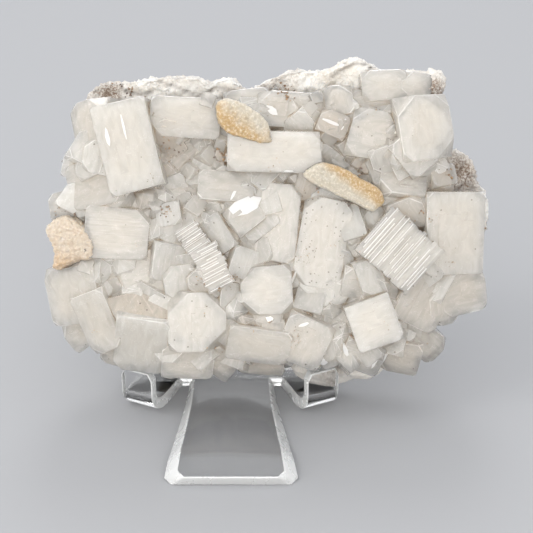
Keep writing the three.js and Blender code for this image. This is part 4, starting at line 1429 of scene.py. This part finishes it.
# %% [markdown]
# The ridges need the angle round the fan's root: noise that reads mostly this angle changes
# quickly across the threads and slowly along them. The same angle is stored for the material.


# %% Blades and sheaf
def blade_mesh(name, outline, out, thick, swing, root, ridges, slot, zone, lumps):
    """A leaf with ridges that fan out from its root, and lumps."""
    middle = sum((Vector((*p, 0)) for p in outline), Vector()) / len(outline)
    where = turned((middle.x, middle.y, out), 0, swing, 0)
    loop = smooth_loop(outline, 5)
    work = bmesh.new()
    ring_mesh(work, [[Vector(((x - middle.x) * share, (y - middle.y) * share, z * thick))
                      for x, y in loop] for share, z in BLADE_RINGS])
    bmesh.ops.recalc_face_normals(work, faces=work.faces)
    mesh = voxel_skin(mesh_from(work, name), BLADE_VOXEL)
    mesh.attributes.new("own", "FLOAT_VECTOR", "POINT")
    mesh.attributes.new("depth", "FLOAT", "POINT")
    own, depth = mesh.attributes["own"], mesh.attributes["depth"]
    centre = Vector(root) - middle.to_2d()
    for vertex in mesh.vertices:
        x, y, z = vertex.co
        arm = Vector((x, y)) - centre
        angle = math.atan2(arm.y, arm.x) * ridges / math.pi
        far = arm.length
        soft = noise.noise(Vector((angle * 0.8, far * 0.12, z * 0.4)))
        crest = noise.noise(Vector((angle * 2.1, far * 0.05, 7.0)))
        grain = noise.fractal(Vector((x, y, z)) * 0.9, 1.0, 2.0, 4)
        vertex.co += vertex.normal * (0.22 * soft + 0.16 * crest + lumps * grain)
        own.data[vertex.index].vector = (far * 0.15, angle, z)
        depth.data[vertex.index].value = (zone[3] + zone[2] * (x * zone[0] + y * zone[1])
                                          + 0.35 * noise.noise(Vector((x, y, z)) * 0.35))
    mesh.materials.append(SILKS[slot])
    mesh.transform(SPECIMEN @ where)
    mesh.shade_smooth()
    return mesh


for name, facts in BLADES.items():
    blade = link_object(name.replace("stilbite_", ""), blade_mesh(name, **facts))
    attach(blade, "root")
    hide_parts(name)
    print(name, len(blade.data.polygons), "faces")

# %% [markdown]
# ## Brown grains
# Clay and iron rust sit in the contacts between crystals, and finer grains lie on a few faces.
# Each place in the list is strewn with points that drop on whatever lies foremost there, and
# Geometry Nodes put a small angular grain on each point.

# %% Places of the grains
# across, up, spread, count, largest size in mm
GRAIN_PLACES = [
    (-25.4, 20.3, 3.6, 16, 0.8), (-12.4, 19.2, 1.5, 18, 0.9), (24, 15.1, 1.2, 8, 0.9),
    (9.1, 10.3, 2.6, 8, 0.6), (12.5, 10.3, 0.7, 4, 0.9), (8.6, 6, 0.8, 5, 0.8),
    (20.5, 6.8, 1, 6, 0.8), (39.5, 1.4, 3.6, 8, 0.6), (39.6, 4.5, 0.6, 4, 0.9),
    (41.7, 2.6, 0.6, 3, 0.8), (-17.2, -12.8, 1.6, 8, 0.7), (-9.6, -11.8, 1.3, 7, 0.7),
    (-13, -15.3, 0.7, 4, 0.9), (9.9, -6.7, 2.2, 26, 0.42), (20, -6.7, 0.9, 9, 0.42),
    (22.4, -7, 1.5, 10, 0.45), (16.7, -4, 0.5, 3, 0.4), (6.7, -28.4, 1.5, 22, 0.42),
    (-16.4, -19.2, 0.6, 3, 0.5), (-16.7, -21.6, 0.5, 3, 0.5), (-0.1, -24, 0.8, 6, 0.8),
    (-10.4, -14.7, 2.4, 9, 0.6), (-13.7, -30.8, 3, 10, 0.6), (-4.9, -25, 1.5, 9, 0.6),
    (-27.2, 4.3, 1.6, 16, 0.8), (-56, 5, 1.4, 6, 0.6), (-50.5, 3.6, 1, 7, 0.7),
    (-37, 35.7, 2.2, 22, 0.9), (5.4, 35.3, 2.2, 24, 0.9), (-3.6, 24.2, 1.6, 7, 0.5),
    (38, -32, 3, 6, 0.5), (47.1, 13.7, 1, 8, 0.9), (52.5, 10.9, 1, 8, 0.9),
    (57.3, -0.3, 0.8, 6, 0.9), (-30, 13, 1.2, 6, 0.5), (1.5, 16.6, 3, 6, 0.5),
    (-45.5, -27, 1, 4, 0.5), (31, -24, 1.4, 5, 0.4), (0, 32.6, 3, 9, 0.6), (27, 30, 2, 6, 0.6),
    (47.3, -9, 1.2, 6, 0.5), (-34, -4, 1.4, 4, 0.4), (-29.7, 29.6, 0.8, 4, 0.5),
]


def foremost(trees, across, up):
    """Where a ray along the specimen's depth first meets one of the meshes."""
    start = SPECIMEN @ Vector((across, up, 40))
    inward = (SPECIMEN.to_3x3() @ Vector((0, 0, -1))).normalized()
    hits = [tree.ray_cast(start, inward) for tree in trees]
    hits = [hit for hit in hits if hit[0] is not None]
    return min(hits, key=lambda hit: hit[3])[0] if hits else None


targets = [BVHTree.FromPolygons([v.co for v in m.vertices], [p.vertices for p in m.polygons])
           for m in (crystal_mesh, rock_mesh)]
dice = random.Random(23)
SPREAD = 0.6  # of the spread in the list, as the standard deviation
spots, sizes = [], []
for across, up, spread, count, largest in GRAIN_PLACES:
    for _ in range(count):
        x, y = dice.gauss(across, spread * SPREAD), dice.gauss(up, spread * SPREAD)
        spot = foremost(targets, x, y)
        if spot:
            spots.append(spot)
            sizes.append(MM * largest * dice.uniform(0.35, 1.0))
print(len(spots), "grains")

# %% [markdown]
# Four shapes are enough, because each grain is turned another way. A shape is the hull of nine
# random points on a ball, so it has flat sides and corners, as broken clay has.

# %% The grains' shapes
GRAIN_KINDS = 4
GRAIN_CORNERS = 9
grain_shapes = new_collection("grain_shapes")
for k in range(GRAIN_KINDS):
    work = bmesh.new()
    for _ in range(GRAIN_CORNERS):
        work.verts.new(Vector([dice.gauss(0, 1) for _ in range(3)]).normalized() * 0.5)
    bmesh.ops.convex_hull(work, input=work.verts)
    grain = mesh_from(work, f"{k}_grain")
    grain_shapes.objects.link(bpy.data.objects.new(f"{k}_grain", grain))

# %% [markdown]
# Rusty clay is matt and earthy, from dark brown to ochre, with a weak shine. The colour changes
# from one clump to the next, not within a grain.

# %% The grains' material
rust, tree, output = new_material("rusty_clay_grains")
share = ramp(tree, cloudy(tree, millimetres(tree), 0.35, 3.0, 0.6), 0.42, 0.6)
set_surface(tree, output, {
    "Base Color": mix(tree, share, "5E5049", "94785A"), "Roughness": 0.65,
    "Specular IOR Level": 0.45,
})
print("material:", rust.name)

# %% [markdown]
# The places become the points of a mesh, and each point carries the size of its grain. The tree
# puts a shape on every point.


# %% Strewing the grains
def strew_tree():
    tree, given, result = geometry_tree("strew", {
        "Shapes": "NodeSocketCollection", "Size": "NodeSocketFloat", "Seed": "NodeSocketInt",
        "Material": "NodeSocketMaterial",
    })
    seed = given["Seed"]
    grains = add_node(tree, "GeometryNodeInstanceOnPoints", {
        "Points": given["Geometry"], "Instance": shapes_of(tree, given["Shapes"]),
        "Pick Instance": True, "Instance Index": roll(tree, seed, "INT", Max=GRAIN_KINDS - 1),
        "Rotation": roll(tree, seed, "FLOAT_VECTOR", Min=(-3, -3, -3), Max=(3, 3, 3)),
        "Scale": calc(tree, "MULTIPLY", named(tree, "grain_size"), given["Size"]),
    })
    return dress(tree, grains.outputs[0], given, result)


point_mesh = bpy.data.meshes.new("grain_points")
point_mesh.from_pydata([tuple(spot) for spot in spots], [], [])
sized = point_mesh.attributes.new("grain_size", "FLOAT", "POINT")
for index, size in enumerate(sizes):
    sized.data[index].value = size
grain_mesh = finished(link_object("grain_points", point_mesh), strew_tree(), {
    "Shapes": grain_shapes, "Size": 1.0, "Seed": 5, "Material": rust,
})
grains = link_object("rusty_grains", grain_mesh)
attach(grains, "root")
remove_collection(grain_shapes)
print("grains:", len(grain_mesh.polygons), "faces")

# %% [markdown]
# ## The easel
# The easel is cut flat from 3 mm clear acrylic sheet with two slots, then heated and bent: the
# two outer fingers splay and turn up as hooks, the middle one runs forward as a foot, and behind
# them the sheet rises as the back and folds down as a rear leg. It is built the same way: rows
# of points follow the bent line, one layer for each face of the sheet, and a bevel rounds the
# cut edges. The cut sides slant a little, which is why they show from the front as pale bands.

# %% The easel's sizes
SHEET = 3.0  # mm, as all lengths here
SLOT_END = 14.0
PRONG_HEIGHT = 13.5
BACK_LENGTH = 56.0
BACK_FROM_FACE = 23.3  # from the middle of the specimen's face to the back plate
LEG_SPREAD = math.radians(24)
FOOT_LENGTH = 33.0
FOOT_RISE = 2.2  # where the foot is bent down again, before its end
FOOT_SLOPE = 8.0
FOOT_HALF = 12  # half the foot's width where it leaves the base
SLOT_EDGE = 14  # from the middle to the hook, past the slot
BASE_HALF = 26.0
FOLD_HALF = 20
HALF = SHEET / 2
print("sheet of", SHEET, "mm,", 2 * BASE_HALF, "mm wide at its base")

# %% [markdown]
# Heat makes a round bend, so a bent line is straight runs with an arc where two of them meet.
# The long runs are then divided, because the sheet also twists and tapers along them.


# %% Bending a line
def bent(corners, radii, fine=6):
    """Straight runs with an arc in each bend, as points a few degrees or millimetres apart."""
    line = [Vector(corners[0])]
    for i in range(1, len(corners) - 1):
        here = Vector(corners[i])
        before = (Vector(corners[i - 1]) - here).normalized()
        after = (Vector(corners[i + 1]) - here).normalized()
        half = before.angle(after) / 2
        radius = radii[i - 1]
        start = here + before * radius / math.tan(half)
        centre = here + (before + after).normalized() * radius / math.sin(half)
        arm = start - centre
        last = here + after * radius / math.tan(half) - centre
        side = 1 if arm.x * last.y - arm.y * last.x > 0 else -1
        sweep = math.pi - 2 * half
        steps = max(2, round(math.degrees(sweep) / fine))
        for k in range(steps + 1):
            turn = Matrix.Rotation(side * sweep * k / steps, 2)
            line.append(centre + turn @ arm)
    line.append(Vector(corners[-1]))
    return line


def evened(line, longest=3.0):
    """The same line with its long runs divided."""
    points = [line[0]]
    for a, b in zip(line, line[1:]):
        steps = max(1, math.ceil((b - a).length / longest))
        points += [a.lerp(b, k / steps) for k in range(1, steps + 1)]
    return points


# %% [markdown]
# Seen from the side the easel is three lines in the middle of the sheet: the hooks, the foot,
# and the back with its leg. They part where the slots end. The back follows the specimen, and
# the leg comes down at its own angle until its end touches the table.

# %% The easel's lines
face_middle = Vector((BEHIND, ABOVE))
slope = Vector((math.sin(LEAN), math.cos(LEAN)))
outward = Vector((-slope.y, slope.x))
on_back = face_middle + outward * (-BACK_FROM_FACE - HALF)
heel = on_back + slope * ((HALF - on_back.y) / slope.y)
fold = heel + slope * BACK_LENGTH
leg_foot_z = HALF * math.sin(LEG_SPREAD)
leg_foot = Vector((fold.x + (fold.y - leg_foot_z) * math.tan(LEG_SPREAD), leg_foot_z))
split = Vector((SLOT_END, HALF))
prong_line = evened(bent([(HALF, PRONG_HEIGHT), (HALF, HALF), split], [5.0]))
back_line = evened(bent([split, heel, fold, leg_foot], [2.6, 3.5]))
drop = math.atan2(FOOT_RISE, FOOT_SLOPE)
foot_line = evened(bent([
    (-FOOT_LENGTH, HALF * math.cos(drop)), (-FOOT_LENGTH + FOOT_SLOPE, HALF + FOOT_RISE),
    (SLOT_END - 8, HALF), split,
], [9, 30]))
print("easel lines:", len(prong_line), len(foot_line), len(back_line), "rows")

# %% [markdown]
# Each strip of the sheet becomes rows of points: a row has one line of points for the lower
# face and one for the upper face. Small helpers say how far along the line a row is, which way
# the sheet faces there, and how much a rounded corner takes off its width.


# %% Helpers for the rows
def eased(value, low, high):
    """A soft step from 0 to 1."""
    t = min(1.0, max(0.0, (value - low) / (high - low)))
    return t * t * (3 - 2 * t)


def corner_round(distance, radius):
    """How far a rounded outline stands in, at a distance from the end."""
    if distance >= radius:
        return 0.0
    return radius - math.sqrt(max(0.0, radius ** 2 - (radius - distance) ** 2))


def lengths(line):
    """How far along the line each point is."""
    total, sums = 0.0, [0.0]
    for a, b in zip(line, line[1:]):
        total += (b - a).length
        sums.append(total)
    return sums


def normals_of(line):
    """At each point of a line, the direction square to it that is up where the line is flat."""
    found = []
    for i in range(len(line)):
        run = (line[min(i + 1, len(line) - 1)] - line[max(i - 1, 0)]).normalized()
        found.append(Vector((-run.y, run.x)))
    return found


# %% [markdown]
# The hooks turn outwards as they rise and get a little narrower. The foot widens towards its end
# and is slightly arched, and its sides slant, so that they face up.

# %% Rows of the hooks and the foot
HOOK_SPLAY = math.radians(27)  # how far the hooks point outwards
HOOK_TAPER = 2.2  # mm that a hook gets narrower
HOOK_DRIFT = 4.6  # mm that its prong stands further out
FOOT_SPREAD = 5.4  # mm that the foot gets wider on each side
FOOT_CROWN = 1.3  # mm that the foot's middle stands above its sides


def hook_rows():
    """The right hook: each row turns further outwards towards the prong."""
    rows = []
    for (y, z), far, square in zip(prong_line, lengths(prong_line), normals_of(prong_line)):
        share = (SLOT_END - y) / (SLOT_END - HALF)
        turn = HOOK_SPLAY * eased(share, 0, 1)
        half = (BASE_HALF - SLOT_EDGE - HOOK_TAPER * share) / 2 - corner_round(far, 1.2)
        across = Vector((math.cos(turn), math.sin(turn), 0))
        level = Vector((-math.sin(turn), math.cos(turn), 0))
        normal = level * square.x + Vector((0, 0, square.y))
        middle = Vector(((BASE_HALF + SLOT_EDGE) / 2 + HOOK_DRIFT * share, y, z))
        pair = []
        for side, inset in ((-1, 0.0), (1, 0.5)):
            pair.append([middle + normal * HALF * side + across * (half * t + inset * (t < 0))
                         for t in (-1, 0, 1)])
        rows.append(pair)
    return rows


def foot_rows():
    """The front foot: gently arched, with sides that slant so that they face up."""
    rows = []
    for (y, z), far, square in zip(foot_line, lengths(foot_line), normals_of(foot_line)):
        share = (SLOT_END - y) / (SLOT_END + FOOT_LENGTH)
        half = FOOT_HALF + FOOT_SPREAD * (0.75 * share + 0.25 * share ** 2)
        half -= corner_round(far, 2.2)
        slant = 1.3 + 2.1 * share ** 0.7
        crown = FOOT_CROWN * math.sin(math.pi * min(1.0, share * 1.02))
        pair = []
        for side in (-1, 1):
            reach = half - (slant if side > 0 else 0)
            pair.append([Vector((share + reach * t, y + HALF * side * square.x,
                                 z + HALF * side * square.y + crown * (1 - t * t)))
                         for t in (-1, -0.6, 0, 0.6, 1)])
        rows.append(pair)
    return rows


# %% [markdown]
# The base and the back are one width of sheet that narrows up to the fold, and the leg widens
# again below it, so that the easel stands firmly.


# %% Rows of the back and the leg
def back_rows():
    """The base, the back that the specimen leans on, and the rear leg."""
    rows = []
    reach = lengths(back_line)
    for (y, z), far, square in list(zip(back_line, reach, normals_of(back_line)))[1:]:
        if y < heel.x:
            outer = BASE_HALF
        elif far < BACK_LENGTH + 6:
            outer = BASE_HALF - (BASE_HALF - FOLD_HALF) * eased(z, 2, fold.y)
        else:
            outer = FOLD_HALF + 3 * (1 - z / fold.y)
        outer -= corner_round(reach[-1] - far, 1.5)
        half_row = [0.6 * FOOT_HALF, FOOT_HALF, SLOT_EDGE, (outer + SLOT_EDGE) / 2, outer]
        xs = [-x for x in reversed(half_row)] + [0] + half_row
        rows.append([[Vector((x, y + HALF * side * square.x, z + HALF * side * square.y))
                      for x in xs] for side in (-1, 1)])
    return rows


# %% [markdown]
# Faces join each row to the next. The last rows of the three front strips, side by side, are
# the first full row of the base, so the whole easel is one closed sheet with no seam.


# %% The easel's sheet
def easel_mesh():
    """The bent sheet as one closed body, with its cut edges marked for their own finish."""
    work = bmesh.new()

    def place(rows):
        return [[[work.verts.new(p) for p in layer] for layer in pair] for pair in rows]

    def face(corners, cut):
        work.faces.new(corners).material_index = 1 if cut else 0

    def skin(rows):
        for (low_a, top_a), (low_b, top_b) in zip(rows, rows[1:]):
            for i in range(len(low_a) - 1):
                face((low_a[i], low_b[i], low_b[i + 1], low_a[i + 1]), False)
                face((top_a[i], top_a[i + 1], top_b[i + 1], top_b[i]), False)
            for i in (0, -1):
                face((low_a[i], top_a[i], top_b[i], low_b[i]), True)

    def cap(pair, pieces=None):
        low, top = pair
        for i in pieces or range(len(low) - 1):
            face((low[i], low[i + 1], top[i + 1], top[i]), True)

    right = hook_rows()
    left = [[[Vector((-p.x, p.y, p.z)) for p in reversed(layer)] for layer in pair]
            for pair in right]
    left, foot, right, back = (place(rows) for rows in (left, foot_rows(), right, back_rows()))
    for strip in (left, foot, right):
        skin(strip)
        cap(strip[0])
    seam = [left[-1][k] + foot[-1][k] + right[-1][k] for k in (0, 1)]
    cap(seam, (2, 7))
    skin([seam] + back)
    cap(back[-1])
    bmesh.ops.recalc_face_normals(work, faces=work.faces)
    print("easel: open edges", sum(1 for edge in work.edges if not edge.is_manifold))
    return mesh_from(work, "easel")


# %% [markdown]
# Clear acrylic is brighter than glass, IOR 1.49, with almost no tint. Its broad faces are
# polished with the odd fine scratch. Its cut edges were sanded, so they scatter a little light
# and read as pale lines round the whole easel. Edges and faces get a material each.


# %% The acrylic materials
def acrylic(name, smoothest, roughest, white, milk_share):
    material, tree, output = new_material(name)
    place = millimetres(tree)
    haze = cloudy(tree, place, 0.15, 4.0, 0.6)
    scratches = stretched(tree, place, (0.25, 3.5, 3.5), (0, 0, 0.5))
    scratches = cloudy(tree, scratches, 1.0, 3.0, 0.6)
    set_surface(tree, output, {
        "Base Color": colour(white), "IOR": 1.49, "Transmission Weight": 1 - milk_share,
        "Roughness": ramp(tree, haze, 0.4, 0.7, smoothest, roughest),
        "Normal": bumpy(tree, scratches, 0.12, 0.0001),
    })
    return material


acrylic_face = acrylic("clear_acrylic_face", 0.01, 0.05, "FFFFFF", 0.0)
acrylic_edge = acrylic("clear_acrylic_sanded_edge", 0.18, 0.4, "FBFCFC", 0.45)
print("materials:", acrylic_face.name, acrylic_edge.name)

# %% [markdown]
# A bevel rounds the edges, as sanding does, and gives them the duller material. Only edges with
# a real corner are bevelled; the bends of the sheet stay as they are.

# %% The easel, bent and edged
EDGE_ROUND = 0.35  # mm
flat_mesh = easel_mesh()
flat_mesh.materials.append(acrylic_face)
flat_mesh.materials.append(acrylic_edge)
easel = link_object("easel_host", flat_mesh)
rounded = easel.modifiers.new("edges", "BEVEL")
rounded.width = EDGE_ROUND
rounded.segments = 3
rounded.limit_method = "ANGLE"
rounded.angle_limit = math.radians(38)
rounded.material = 1
easel_final = evaluated(easel)
easel_final.transform(EASEL)
easel_final.shade_smooth()
easel_final.set_sharp_from_angle(angle=math.radians(40))
easel = link_object("acrylic_easel", easel_final)
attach(easel, "root")
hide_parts("stand")
print("easel:", len(easel_final.polygons), "faces")
